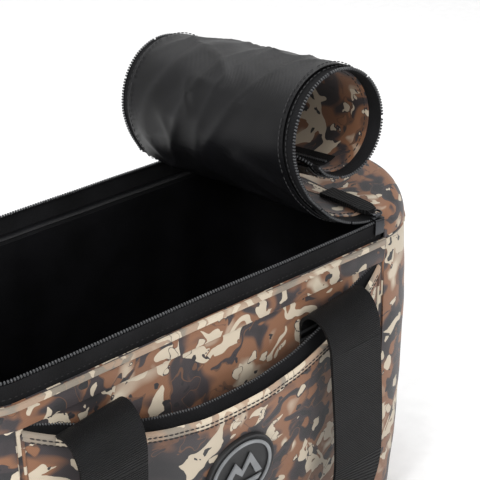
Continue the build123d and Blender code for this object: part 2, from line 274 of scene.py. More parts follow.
def cloth_material(name, dark, light, roughness, group, size, strength, distance, **shader_values):
    """Plain dyed cloth: two close tones over the wear mask and a woven or ribbed bump."""
    material, tree, shader = start_material(name, roughness)
    uv = tree.nodes.new("ShaderNodeUVMap").outputs["UV"]
    mask = grouped(tree, wear_group, uv, Scale=26)
    tree.links.new(ramp(tree, mask, [(0.3, dark), (0.7, light)]), shader.inputs["Base Color"])
    key = "Ribs" if group is rib_group else "Threads"
    bump(tree, shader, grouped(tree, group, uv, **{key: size}), strength, distance)
    for socket, value in shader_values.items():
        shader.inputs[socket.replace("_", " ")].default_value = value
    return material


def moulded_material(name, dark, light, roughness, grain=900, strength=0.15, metallic=0.0):
    """Moulded rubber, plastic or plated metal: a fine grain on the object's own coordinates."""
    material, tree, shader = start_material(name, roughness, metallic)
    where = tree.nodes.new("ShaderNodeTexCoord").outputs["Object"]
    mask = grouped(tree, wear_group, where, Scale=60)
    tree.links.new(ramp(tree, mask, [(0.35, dark), (0.7, light)]), shader.inputs["Base Color"])
    speckle = add(tree, "ShaderNodeTexNoise", {"Vector": where, "Scale": grain, "Detail": 2.0})
    bump(tree, shader, speckle.outputs["Fac"], strength, 0.0003)
    return material


# %% [markdown]
# ## Printed camouflage
#
# The print is liquid looking: tan ground, cream and taupe swirls, and dark brown pools with lighter rims. Noise
# whose own coordinates are stirred by a second noise gives the swirls. A ramp with hard steps cuts it into inks,
# and a second, finer layer drops the small dark and pale spots on top.


# %% Printed polyester
TAN, CREAM = srgb(132, 88, 58), srgb(204, 190, 168)
BROWN, DARK, UMBER = srgb(46, 36, 39), srgb(22, 19, 23), srgb(100, 66, 44)


def stirred(tree, uv, scale, amount, seed):
    """UV moved about by a noise, so that what reads it looks stirred."""
    away = (seed, seed * 0.7, seed * 1.3)
    shift = add(tree, "ShaderNodeVectorMath", {0: uv, 1: away}, operation="ADD").outputs[0]
    cloud = add(tree, "ShaderNodeTexNoise", {"Vector": shift, "Scale": scale, "Detail": 1.0})
    centred = add(tree, "ShaderNodeVectorMath", {0: cloud.outputs["Color"], 1: (0.5, 0.5, 0.5)},
                  operation="SUBTRACT").outputs[0]
    moved = add(tree, "ShaderNodeVectorMath", {0: centred, "Scale": amount}, operation="SCALE").outputs[0]
    return add(tree, "ShaderNodeVectorMath", {0: shift, 1: moved}, operation="ADD").outputs[0]


def mix_colour(tree, mask, below, above):
    """Above laid over below where the mask is one."""
    node = tree.nodes.new("ShaderNodeMix")
    node.data_type = "RGBA"
    tree.links.new(mask, node.inputs[0])
    for socket, source in ((6, below), (7, above)):
        if isinstance(source, bpy.types.NodeSocket):
            tree.links.new(source, node.inputs[socket])
        else:
            node.inputs[socket].default_value = (*source, 1)
    return node.outputs[2]


def drops(tree, ink, uv, seed, scale, share, radius, colour, edge):
    """Small stretched droplets with a thin edge, in some of the cells of a scattered pattern."""
    spread = stirred(tree, uv, scale * 0.9, 0.9 / scale, seed)
    cells = add(tree, "ShaderNodeTexVoronoi", {"Vector": spread, "Scale": scale})
    pick = add(tree, "ShaderNodeSeparateColor", {"Color": cells.outputs["Color"]}).outputs["Red"]
    chosen = ramp(tree, pick, [(0.0, (1,)), (share, (0,))], sharp=True)
    ragged = add(tree, "ShaderNodeTexNoise", {"Vector": spread, "Scale": scale * 2.1, "Detail": 1.0})
    depth = maths(tree, "ADD", cells.outputs["Distance"], maths(tree, "MULTIPLY", ragged.outputs["Fac"], 0.75))
    for reach, paint in ((radius * 1.12 + 0.30, edge), (radius + 0.30, colour)):
        disc = ramp(tree, depth, [(0.0, (1,)), (reach, (0,))], sharp=True)
        ink = mix_colour(tree, maths(tree, "MULTIPLY", disc, chosen), ink, paint)
    return ink


def make_print(name, seed, pale=0.0):
    """Camouflage-printed polyester with a fine weave and a slight sheen."""
    material, tree, shader = start_material(name, 0.62)
    uv = tree.nodes.new("ShaderNodeUVMap").outputs["UV"]
    blurred = add(tree, "ShaderNodeTexNoise", {
        "Vector": stirred(tree, uv, 20, 0.03, seed), "Scale": 22.0, "Detail": 2.0, "Distortion": 0.5})
    ink = ramp(tree, blurred.outputs["Fac"], [(0.34, DARK), (0.44, BROWN), (0.5, TAN), (0.58, TAN), (0.67, CREAM)])
    swirl = stirred(tree, uv, 48, 0.022, seed + 2)
    large = add(tree, "ShaderNodeTexNoise", {
        "Vector": swirl, "Scale": 24.0, "Detail": 2.5, "Roughness": 0.5, "Distortion": 0.9})
    dark = ramp(tree, large.outputs["Fac"], [(0.0, (1,)), (0.42, (0,))], sharp=True)
    rim = ramp(tree, large.outputs["Fac"], [(0.0, (1,)), (0.43, (0,))], sharp=True)
    ink = mix_colour(tree, rim, ink, UMBER)
    ink = mix_colour(tree, dark, ink, BROWN)
    light = ramp(tree, large.outputs["Fac"], [(0.0, (0,)), (0.585, (1,))], sharp=True)
    ink = mix_colour(tree, light, ink, CREAM)
    darkest = ramp(tree, large.outputs["Fac"], [(0.0, (1,)), (0.35, (0,))], sharp=True)
    ink = mix_colour(tree, darkest, ink, DARK)
    ink = drops(tree, ink, uv, seed + 3, 48.0, 0.45, 0.34, TAN, UMBER)
    ink = drops(tree, ink, uv, seed + 7, 66.0, 0.4, 0.32, CREAM, BROWN)
    ink = drops(tree, ink, uv, seed + 11, 84.0, 0.34, 0.3, DARK, BROWN)
    # pale lays a share of cream evenly over the whole print: a painted highlight, for rounded edges that catch the
    # light.
    if pale:
        share = tree.nodes.new("ShaderNodeValue")
        share.outputs[0].default_value = pale
        ink = mix_colour(tree, share.outputs[0], ink, CREAM)
    shade = grouped(tree, wear_group, uv, Scale=9)
    soft = ramp(tree, shade, [(0.25, (0.66,)), (0.7, (0.88,))])
    faded = add(tree, "ShaderNodeMix", {0: 1.0}, data_type="RGBA", blend_type="MULTIPLY")
    tree.links.new(ink, faded.inputs[6])
    tree.links.new(soft, faded.inputs[7])
    tree.links.new(faded.outputs[2], shader.inputs["Base Color"])
    bump(tree, shader, grouped(tree, weave_group, uv, Threads=1500), 0.25, 0.0002)
    shader.inputs["Sheen Weight"].default_value = 0.15
    return material


printed = make_print("printed_polyester", 0.0)
# The print for the turned edges, made 40 percent paler with cream: a painted highlight on the rounded ridges that
# catch the light.
highlit_edge_print = make_print("edge_print_painted_highlight", 0.0, 0.4)

# %% The other finishes
lining = cloth_material("coated_lining", srgb(9, 9, 10), srgb(17, 17, 19), 0.34, weave_group, 1400, 0.3, 0.0003,
                        Specular_IOR_Level=0.22)
tape_cloth = cloth_material("zipper_tape", srgb(12, 12, 13), srgb(24, 24, 26), 0.75, rib_group, 1100, 0.6, 0.0004,
                            Specular_IOR_Level=0.15)
webbing = cloth_material("ribbed_webbing", srgb(8, 8, 9), srgb(22, 22, 24), 0.55, rib_group, 420, 1.0, 0.0014,
                         Specular_IOR_Level=0.2)
base_cloth = cloth_material("coated_base", srgb(30, 30, 32), srgb(42, 42, 44), 0.6, weave_group, 900, 0.4, 0.0004)
thread = cloth_material("dark_thread", srgb(20, 16, 16), srgb(34, 28, 28), 0.7, rib_group, 1500, 0.5, 0.0002)
black_thread = cloth_material("black_thread", srgb(18, 18, 19), srgb(28, 28, 30), 0.7, rib_group, 1500, 0.5, 0.0002)
coil_plastic = moulded_material("zipper_coil", srgb(34, 35, 37), srgb(48, 49, 51), 0.28, 1500, 0.05)
rubber = moulded_material("badge_rubber", srgb(16, 16, 17), srgb(26, 26, 28), 0.62, 1600, 0.25)
relief = moulded_material("badge_relief", srgb(104, 106, 108), srgb(124, 126, 128), 0.55, 1600, 0.2)
plastic = moulded_material("black_plastic", srgb(30, 30, 32), srgb(42, 42, 45), 0.42, 1800, 0.2)
metal = moulded_material("black_metal", srgb(52, 53, 55), srgb(74, 75, 78), 0.3, 2200, 0.08, 1.0)
foam = moulded_material("foam", srgb(214, 212, 205), srgb(232, 230, 224), 0.9, 700, 0.4)
studio = moulded_material("studio_paper", (0.86, 0.86, 0.86), (0.9, 0.9, 0.9), 0.9, 300, 0.02)
floor.data.materials.append(studio)
print("materials", len(bpy.data.materials))

# %% [markdown]
# ## Following the outline
#
# Walls, hems and zippers all run round the same rounded outline, so one function gives a point and the outward
# direction at a distance along it. It starts at the front right seam and goes left, round the left end, along the
# back and round the right end. A second function gives gentle, repeatable folds.


# %% The outline as a path
def outline_runs():
    """Straight and round runs of the outline: (kind, length, start point or centre, start angle, radius)."""
    left_x, right_x = LEFT + LEFT_RADIUS, RIGHT - RIGHT_RADIUS
    left_y, right_y = HALF - LEFT_RADIUS, HALF - RIGHT_RADIUS
    quarter = math.pi / 2
    return [
        ("straight", right_x - left_x, (right_x, -HALF), (-1, 0), (0, -1)),
        ("round", quarter * LEFT_RADIUS, (left_x, -left_y), -quarter, LEFT_RADIUS),
        ("straight", 2 * left_y, (LEFT, -left_y), (0, 1), (-1, 0)),
        ("round", quarter * LEFT_RADIUS, (left_x, left_y), -2 * quarter, LEFT_RADIUS),
        ("straight", right_x - left_x, (left_x, HALF), (1, 0), (0, 1)),
        ("round", quarter * RIGHT_RADIUS, (right_x, right_y), -3 * quarter, RIGHT_RADIUS),
        ("straight", 2 * right_y, (RIGHT, right_y), (0, -1), (1, 0)),
        ("round", quarter * RIGHT_RADIUS, (right_x, -right_y), 0, RIGHT_RADIUS),
    ]


RUNS = outline_runs()
PERIMETER = sum(run[1] for run in RUNS)


def outline(along, inset=0.0):
    """Point and outward direction at a distance along the outline, moved inwards by inset."""
    along %= PERIMETER
    for run in RUNS:
        if along <= run[1] or run is RUNS[-1]:
            break
        along -= run[1]
    if run[0] == "straight":
        start, go, out = (Vector((*v, 0)) for v in run[2:])
        return start + go * along - out * inset, out
    angle = run[3] - along / run[4]
    out = Vector((math.cos(angle), math.sin(angle), 0))
    return Vector((*run[2], 0)) + out * (run[4] - inset), out


def folds(x, y, seed, long=6.0, across=30.0):
    """Soft folds from -1 to 1, longer one way than the other."""
    first = noise.noise(Vector((x * long, y * across, seed)))
    second = noise.noise(Vector((x * long * 2.3 + y * 9, y * across * 0.6, seed + 5)))
    return first * 0.7 + second * 0.3


FRONT_SEAM_LEFT = RUNS[0][1] + 6 * MM
LEFT_SEAM_BACK = sum(run[1] for run in RUNS[:4]) - 6 * MM
BACK_SEAM_RIGHT = sum(run[1] for run in RUNS[:5])
print("outline length", round(PERIMETER, 3))

# %% [markdown]
# ## Making cloth from a grid
#
# A sheet of cloth starts as a flat grid primitive. Each vertex is then moved to where that bit of cloth lies, and
# its UV is set to the cloth's own flat metres. A Solidify modifier gives the sheet its thickness.


# %% Sheet and tube makers
def finish_mesh(piece, name, *materials, smooth=True):
    """Names a piece, gives it its materials and smooth shading."""
    piece.name = name
    piece.data.name = name
    piece.data.materials.clear()
    for material in materials:
        piece.data.materials.append(material)
    if smooth:
        bpy.ops.object.select_all(action="DESELECT")
        piece.select_set(True)
        bpy.context.view_layer.objects.active = piece
        bpy.ops.object.shade_smooth_by_angle(angle=math.radians(50))
    return piece


def apply_modifier(piece, kind, **settings):
    """Adds one modifier to a piece and applies it."""
    bpy.ops.object.select_all(action="DESELECT")
    piece.select_set(True)
    bpy.context.view_layer.objects.active = piece
    bpy.ops.object.modifier_add(type=kind)
    modifier = piece.modifiers[-1]
    for key, value in settings.items():
        setattr(modifier, key, value)
    bpy.ops.object.modifier_apply(modifier=modifier.name)


def sheet(name, columns, rows, place, size, material, thickness=1.0 * MM, offset=-1.0, even=True):
    """A grid of cloth: place(u, v) gives each point, size is its flat width and height in metres."""
    bpy.ops.object.select_all(action="DESELECT")
    bpy.ops.mesh.primitive_grid_add(x_subdivisions=columns, y_subdivisions=rows, size=1)
    piece = bpy.context.object
    for vertex in piece.data.vertices:
        vertex.co = place(vertex.co.x + 0.5, vertex.co.y + 0.5)
    for loop in piece.data.uv_layers.active.data:
        loop.uv = (loop.uv[0] * size[0], loop.uv[1] * size[1])
    if thickness:
        apply_modifier(piece, "SOLIDIFY", thickness=thickness, offset=offset, use_even_offset=even)
    return finish_mesh(piece, name, material)


def join(pieces, name):
    """Several pieces joined into one."""
    bpy.ops.object.select_all(action="DESELECT")
    for piece in pieces:
        piece.select_set(True)
    bpy.context.view_layer.objects.active = pieces[0]
    if len(pieces) > 1:
        bpy.ops.object.join()
    pieces[0].name = name
    return pieces[0]


def small_model(kind, shape, **settings):
    """A tiny part made from a primitive and shaped in edit mode, read out as points and faces, then removed."""
    bpy.ops.object.select_all(action="DESELECT")
    getattr(bpy.ops.mesh, kind)(**settings)
    piece = bpy.context.object
    bpy.ops.object.mode_set(mode="EDIT")
    shape()
    bpy.ops.object.mode_set(mode="OBJECT")
    points = np.array([vertex.co for vertex in piece.data.vertices])
    faces = [tuple(face.vertices) for face in piece.data.polygons]
    bpy.data.objects.remove(piece)
    return points, faces


def laid_along(name, model, points, ups, step, size, material):
    """Copies of a small model laid along a line: its X follows the line and its Z the up direction."""
    part_points, part_faces = model
    part_points = part_points * np.array(size)
    lengths = np.concatenate([[0], np.cumsum([(b - a).length for a, b in zip(points, points[1:])])])
    verts, faces, index = [], [], 0
    for number in range(int(lengths[-1] / step)):
        distance = (number + 0.5) * step
        while lengths[index + 1] < distance:
            index += 1
        share = (distance - lengths[index]) / max(lengths[index + 1] - lengths[index], 1e-9)
        centre = points[index].lerp(points[index + 1], share)
        way = (points[index + 1] - points[index]).normalized()
        side = ups[index].lerp(ups[index + 1], share).cross(way).normalized()
        turn = np.array([way, side, way.cross(side)])
        faces += [tuple(corner + len(verts) for corner in face) for face in part_faces]
        verts += list(part_points @ turn + np.array(centre))
    mesh = bpy.data.meshes.new(name)
    mesh.from_pydata(verts, [], faces)
    piece = bpy.data.objects.new(name, mesh)
    bpy.context.scene.collection.objects.link(piece)
    return finish_mesh(piece, name, material)


def lean_over():
    """Leans a small model a little, as the thread of a coil or a stitch slants."""
    bpy.ops.mesh.select_all(action="SELECT")
    bpy.ops.transform.rotate(value=0.22, orient_axis="Y", center_override=(0, 0, 0))


STITCH = small_model("primitive_uv_sphere_add", lean_over, segments=6, ring_count=5, radius=0.5)
TOOTH = small_model("primitive_uv_sphere_add", lean_over, segments=8, ring_count=6, radius=0.5)


def stitches(name, points, material, length=3.0 * MM, gap=1.3 * MM, thick=0.9 * MM, ups=None):
    """A row of sewn stitches along a line of points."""
    ups = ups or [Vector((0.1, 0.2, 1))] * len(points)
    return laid_along(name, STITCH, points, ups, length + gap, (length * 1.25, thick, thick), material)


def teeth(name, points, ups, material, pitch=PITCH, width=2.7 * MM, height=2.7 * MM):
    """A zipper coil: one rounded loop of nylon per tooth."""
    return laid_along(name, TOOTH, points, ups, pitch, (pitch * 0.86, width, height), material)


# %% [markdown]
# ## Outer panels
#
# The shell is four walls of printed polyester, sewn at the corners. Foam behind them keeps them nearly flat, but
# they still swell a little at mid height and carry soft folds near the seams.


# %% Outer panels
def wall(name, start, end, node, columns, swell, seed, low=2.0 * MM, high=HEM_HIGH):
    """One outer panel from one seam to the next."""
    length = end - start

    def place(u, v):
        point, out = outline(start + u * length)
        z = low + v * (high - low)
        middle = math.sin(math.pi * min(max(v, 0), 1)) ** 0.8
        edge = min(u, 1 - u) * length
        crease = folds(u * length, z, seed) * min(1, edge / 0.03)
        proud = swell * middle + crease * 2.2 * MM * middle - 0.4 * MM
        return point + out * proud + Vector((0, 0, z))

    piece = sheet(name, columns, 60, place, (length, high - low), printed, 1.2 * MM)
    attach(piece, "bag")
    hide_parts(node)
    return piece


wall("front_cloth", 0, FRONT_SEAM_LEFT, "front_panel", 110, 2.5 * MM, 1.0)
wall("left_end_cloth", FRONT_SEAM_LEFT, LEFT_SEAM_BACK, "end_left_panel", 90, 6 * MM, 2.0)
wall("back_cloth", LEFT_SEAM_BACK, BACK_SEAM_RIGHT, "back_panel", 110, 2 * MM, 3.0)
wall("right_end_cloth", BACK_SEAM_RIGHT, PERIMETER, "end_right_panel", 110, 5 * MM, 4.0)


# %% Corner seams
def seam_welt(name, points, radius=1.5 * MM):
    """A thin corded welt along a line of points, as a round tube."""
    curve = bpy.data.curves.new(name, "CURVE")
    curve.dimensions = "3D"
    spline = curve.splines.new("POLY")
    spline.points.add(len(points) - 1)
    for point, target in zip(points, spline.points):
        target.co = (*point, 1)
    curve.bevel_depth, curve.bevel_resolution, curve.use_fill_caps = radius, 2, True
    piece = bpy.data.objects.new(name, curve)
    bpy.context.scene.collection.objects.link(piece)
    bpy.ops.object.select_all(action="DESELECT")
    piece.select_set(True)
    bpy.context.view_layer.objects.active = piece
    bpy.ops.object.convert(target="MESH")
    piece = bpy.context.object
    layer = piece.data.uv_layers.active or piece.data.uv_layers.new(name="UVMap")
    for loop, uv in zip(piece.data.loops, layer.data):
        co = piece.data.vertices[loop.vertex_index].co
        uv.uv = (co.x + co.y, co.z)
    return piece


def corner_seam(name, along):
    """A welt of doubled cloth standing along a corner seam."""
    points = []
    for step in range(41):
        point, out = outline(along)
        middle = math.sin(math.pi * step / 40)
        z = 3 * MM + step / 40 * (HEM_HIGH - 4 * MM)
        points.append(point + out * (0.6 * MM + 1.2 * MM * middle) + Vector((0, 0, z)))
    piece = finish_mesh(seam_welt(name, points, 1.7 * MM), name, printed)
    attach(piece, "bag")


for name, along in (("front_right", 0), ("front_left", FRONT_SEAM_LEFT),
                    ("back_left", LEFT_SEAM_BACK), ("back_right", BACK_SEAM_RIGHT)):
    corner_seam(f"{name}_seam", along)


# %% Base
def base_place(u, v):
    """The base from a middle line out to the outline."""
    point, out = outline(u * PERIMETER, 0.3 * MM)
    spine = Vector((min(max(point.x, LEFT + 80 * MM), RIGHT - 90 * MM), 0, 0))
    flat = spine.lerp(point, min(1.0, v * 1.12))
    lift = max(0.0, v - 0.9) * 60 * MM
    raised = Vector((0, 0, 0.2 * MM + lift))
    return flat + raised if v < 0.9 else point + out * (lift * 0.1) + raised


base = sheet("base_cloth", 160, 12, base_place, (PERIMETER, HALF), base_cloth, 1.0 * MM, 1.0)
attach(base, "bag")
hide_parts("base_panel")

# %% [markdown]
# ## Rim of the opening
#
# Above the wall the print is turned over into a hem with a row of dark stitches. The zipper tape stands up inside
# it, and carries the coil along its free edge. All of them follow the outline round three sides.

# %% Hem, tape and coil of the opening
ZIP_START, ZIP_STOP = RUNS[0][2][0] - ZIP_END, BACK_SEAM_RIGHT - (RUNS[0][2][0] - ZIP_END)


def sway(along):
    """How far the soft rim wanders in and out, and up and down."""
    return folds(along, 0, 8.0, 9.0) * 1.6 * MM, folds(along, 0, 9.0, 8.0) * 1.2 * MM


def rim_line(along, inset, z, share=1.0):
    """A point of the rim, with its sway."""
    point, out = outline(along, inset)
    side, rise = sway(along)
    return point + out * side * share + Vector((0, 0, z + rise * share)), out


def rim_sheet(name, inset, low, high, rows, material, thickness, roll=0.0):
    """A strip round three sides of the opening; roll rounds its top edge outwards."""
    length = ZIP_STOP - ZIP_START

    def place(u, v):
        share = min(1.0, v * 1.5)
        point, out = rim_line(ZIP_START + u * length, inset, low + v * (high - low), share)
        return point + out * roll * math.sin(math.pi * v)

    piece = sheet(name, 300, rows, place, (length, high - low), material, thickness)
    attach(piece, "bag")
    return piece


hem = rim_sheet("rim_hem_cloth", -0.3 * MM, HEM_LOW - 3 * MM, HEM_HIGH, 8, printed, 2.2 * MM, 1.0 * MM)
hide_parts("rim_hem")
# The rim's rounded turned edge in the paler print: a painted highlight along the ridge.
turned = rim_sheet("rim_turned_edge", -2.4 * MM, HEM_HIGH - 3.6 * MM, HEM_HIGH + 0.6 * MM, 4,
                   highlit_edge_print, 2.2 * MM)
rim_tape = rim_sheet("rim_zipper_tape", 2.2 * MM, HEM_LOW, TAPE_TOP, 10, tape_cloth, 0.9 * MM)
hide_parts("rim_tape")


def rim_points(inset, z, count=420):
    """Points and up directions along the rim at one height."""
    found = [rim_line(ZIP_START + step / count * (ZIP_STOP - ZIP_START), inset, z) for step in range(count + 1)]
    return [point for point, out in found], [Vector((0, 0, 1))] * len(found)


rim_coil = teeth("rim_zipper_coil", *rim_points(2.6 * MM, COIL_TOP - 1.3 * MM), coil_plastic)
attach(rim_coil, "bag")
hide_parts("rim_coil")
line = stitches("rim_stitches", rim_points(-3.3 * MM, HEM_HIGH - 3.4 * MM)[0], thread, thick=1.2 * MM)
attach(line, "bag")
inside_line = stitches("tape_stitches", rim_points(1.6 * MM, TAPE_TOP - 10.5 * MM)[0], black_thread)
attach(inside_line, "bag")

# %% [markdown]
# ## Liner
#
# Inside is a tub of black coated nylon. It hangs a little loose on the foam, so it shows upright creases and a soft
# fold where the walls meet the floor. A black binding covers its raw top edge below the zipper tape.

# %% Liner tub and binding
LINER_INSET = 11.1 * MM
LINER_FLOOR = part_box("liner")[0].z


def liner_place(u, v):
    """Down the wall, round the bottom edge and in across the floor."""
    along = u * PERIMETER
    depth = HEM_LOW + 12 * MM - LINER_FLOOR
    if v < 0.7:
        drop = v / 0.7
        point, out = outline(along, LINER_INSET)
        calm = math.sin(math.pi * min(1, drop * 1.1)) ** 0.5
        crease = folds(drop * depth, along, 11.0, 5.0, 26.0) * 3.2 * MM * calm
        height = HEM_LOW + 12 * MM - drop * (depth - 12 * MM)
        return point - out * max(0.0, crease + 1.2 * MM) + Vector((0, 0, height))
    share = (v - 0.7) / 0.3
    curve = min(1.0, share * 3)
    inwards = LINER_INSET + 1.2 * MM + (1 - math.cos(curve * math.pi / 2)) * 12 * MM
    point, out = outline(along, min(inwards, 30 * MM))
    z = LINER_FLOOR + 1.2 * MM + (1 - math.sin(curve * math.pi / 2)) * 12 * MM
    if share > 1 / 3:
        spine = Vector((min(max(point.x, LEFT + 80 * MM), RIGHT - 90 * MM), 0, 0))
        point = point.lerp(spine, (share - 1 / 3) * 1.5)
    return point + Vector((0, 0, z))


liner = sheet("liner_cloth", 260, 60, liner_place, (PERIMETER, 0.4), lining, 0.8 * MM, 1.0)
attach(liner, "bag")
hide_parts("liner")
binding = rim_sheet("inside_binding", 11.6 * MM, HEM_LOW - 1 * MM, HEM_HIGH - 1 * MM, 6, tape_cloth, 1.0 * MM)
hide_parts("rim_binding")


def ledge_place(u, v):
    """The narrow ledge between the binding and the standing tape."""
    point, out = rim_line(ZIP_START + u * (ZIP_STOP - ZIP_START), (3.0 + 8.6 * v) * MM, HEM_HIGH - 1.4 * MM)
    return point + Vector((0, 0, math.sin(math.pi * v) * 0.8 * MM))


ledge = sheet("rim_ledge_cloth", 300, 5, ledge_place, (ZIP_STOP - ZIP_START, 9 * MM), lining, 0.8 * MM)
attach(ledge, "bag")
for node in ("foam_front", "foam_back", "foam_end_left", "foam_end_right", "foam_base"):
    frame["nodes"][node].data.materials.clear()
    frame["nodes"][node].data.materials.append(foam)

# %% [markdown]
# ## How the lid is laid out
#
# The lid's joints say everything: undoing each fold in turn carries a strip from the roll to where it lies when the
# lid is closed. So the folds' places on the flat lid are found from the frame. Cloth is laid out on the flat lid
# and then carried back into the roll. Between two neighbouring strips it follows a smooth curve whose tangents
# are the two strips.

# %% Fold lines and strip places from the joints
FOLD_JOINTS = [joint for joint in frame["joints"] if joint["name"].startswith("lid_")]
STRIPS = [joint["child"] for joint in FOLD_JOINTS]
LID_DEPTH = 6 * MM
LID_EDGE = HALF - 4.5 * MM
COVER_EDGE = HALF - 17 * MM


def turn_about(point, axis, degrees):
    """The matrix of a turn about a line."""
    return Matrix.Translation(point) @ Matrix.Rotation(math.radians(degrees), 4, axis) @ Matrix.Translation(-point)


to_flat = [Matrix.Identity(4)]
flat_folds = []
for joint in FOLD_JOINTS:
    spot, axis = Vector(joint["pos_m"]), Vector(joint["axis"])
    flat_folds.append((to_flat[-1] @ spot, to_flat[-1].to_3x3() @ axis, joint["range_deg"][1]))
    to_flat.append(to_flat[-1] @ turn_about(spot, axis, joint["range_deg"][1]))
ROLLED = [matrix.inverted() for matrix in to_flat]
LID_TOP = flat_folds[0][0].z


def fold_x(number, y):
    """Where fold number lies in X at y on the flat lid."""
    spot, axis, bend = flat_folds[number]
    return spot.x + axis.x / axis.y * (y - spot.y)


FREE_END = LEFT + 4.5 * MM
DECK_REACH = 10 * MM


def middle_x(strip, y):
    """The middle line of a strip; strip 0 is the fixed deck beside the first fold."""
    if strip == 0:
        return fold_x(0, y) + DECK_REACH
    if strip == len(STRIPS):
        return (fold_x(strip - 1, y) + FREE_END + 3 * MM) / 2
    return (fold_x(strip - 1, y) + fold_x(strip, y)) / 2


def swell_between(strip):
    """How far a strip's middle bows out of the straight line between its folds, so that the roll is round."""
    if strip in (0, len(STRIPS)):
        return 0.0
    length = fold_x(strip - 1, 0) - fold_x(strip, 0)
    turning = math.radians(flat_folds[strip - 1][2] + flat_folds[strip][2]) / 2
    return length / 2 * math.tan(turning / 4)


def eased(first, first_way, last, last_way, share):
    """A smooth curve between two points with a direction at each."""
    span = (last - first).length
    rest = 1 - share
    return (first * (1 + 2 * share) * rest ** 2 + first_way * span * share * rest ** 2
            + last * share ** 2 * (3 - 2 * share) - last_way * span * share ** 2 * rest)


def across_fold(number, share, y, depth):
    """A point of the rolled lid in the span of one fold: share runs from the middle of one strip to the next."""
    before, after = ROLLED[number], ROLLED[number + 1]
    left, up = Vector((-1, 0, 0)), Vector((0, 0, 1))
    ways = [matrix.to_3x3() @ left for matrix in (before, after)]
    ups = [matrix.to_3x3() @ up for matrix in (before, after)]
    fold = before @ Vector((fold_x(number, y), y, LID_TOP))
    fold_way = (ways[0] + ways[1]).normalized()
    if share < 0.5:
        start = before @ Vector((middle_x(number, y), y, LID_TOP - swell_between(number)))
        point = eased(start, ways[0], fold, fold_way, share * 2)
    else:
        end = after @ Vector((middle_x(number + 1, y), y, LID_TOP - swell_between(number + 1)))
        point = eased(fold, fold_way, end, ways[1], share * 2 - 1)
    return point - (ups[0] * (1 - share) + ups[1] * share).normalized() * depth


def flat_along(number, share, y):
    """Flat X of the same point, for its UV."""
    return middle_x(number, y) * (1 - share) + middle_x(number + 1, y) * share


def blend_fold(piece, number):
    """Bakes a piece's world transform into its mesh and gives the piece back."""
    start = across_fold(number, 0, 0, 0)
    end = across_fold(number, 1, 0, 0)
    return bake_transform(piece)


def set_flat_uv(piece, coordinates):
    """Sets the UV of each loop from its vertex's flat coordinates."""
    layer = piece.data.uv_layers.active or piece.data.uv_layers.new(name="UVMap")
    for loop, uv in zip(piece.data.loops, layer.data):
        uv.uv = coordinates[loop.vertex_index]


def lid_sheet(name, number, columns, rows, y_low, y_high, depth, material, thickness, ripple=None, offset=-1.0):
    """One span of a lid layer between two strips' middles."""
    bpy.ops.object.select_all(action="DESELECT")
    bpy.ops.mesh.primitive_grid_add(x_subdivisions=columns, y_subdivisions=rows, size=1)
    piece = bpy.context.object
    flat = []
    for vertex in piece.data.vertices:
        share, y = vertex.co.x + 0.5, y_low + (vertex.co.y + 0.5) * (y_high - y_low)
        x = flat_along(number, share, y)
        flat.append((x, y))
        swell = ripple(x, y) if ripple else 0.0
        vertex.co = across_fold(number, share, y, depth + swell)
    set_flat_uv(piece, flat)
    apply_modifier(piece, "SOLIDIFY", thickness=thickness, offset=offset, use_even_offset=True)
    return finish_mesh(piece, name, material)


print("folds on the flat lid", [round(fold_x(n, 0), 3) for n in range(len(STRIPS))])

# %% [markdown]
# ## Lid layers
#
# The printed cover is on the hollow side of the roll and the shiny lining on its outside. The zipper tape is sewn
# in between, so it shows on both sides, with a row of stitches along each. The last half strip, with the rounded
# corners of the free end, is made apart below.


# %% Cover, lining, tape and coil, fold by fold
def cover_ripple(x, y):
    """Soft folds of the printed cover; positive sinks it into the foam."""
    return folds(x, y, 21.0, 12.0, 16.0) * 0.8 * MM


def lining_ripple(x, y):
    """Slack creases of the coated lining, running slantwise in from the ends."""
    slant = 1 - abs(noise.noise(Vector((x * 26 + y * 15, y * 8 - x * 6, 31.0)))) * 2.2
    cross = 1 - abs(noise.noise(Vector((x * 15 - y * 24, y * 10, 33.0)))) * 2.2
    fine = noise.noise(Vector((x * 70 - y * 40, y * 34, 35.0)))
    calm = min(1.0, (COVER_EDGE - abs(y)) / 0.02)
    return (slant ** 3 * 2.2 + max(0.0, cross) ** 3 * 1.6 + fine * 0.6) * MM * max(0.0, calm)


def edge_points(number, y, depth, count=14):
    """Points along one edge of a span, and their up directions, from the roll's hollow side outwards."""
    points = [across_fold(number, step / count, y, depth) for step in range(count + 1)]
    beside = y + math.copysign(2 * MM, y)
    ups = [across_fold(number, step / count, beside, depth) - points[step] for step in range(count + 1)]
    return points, ups


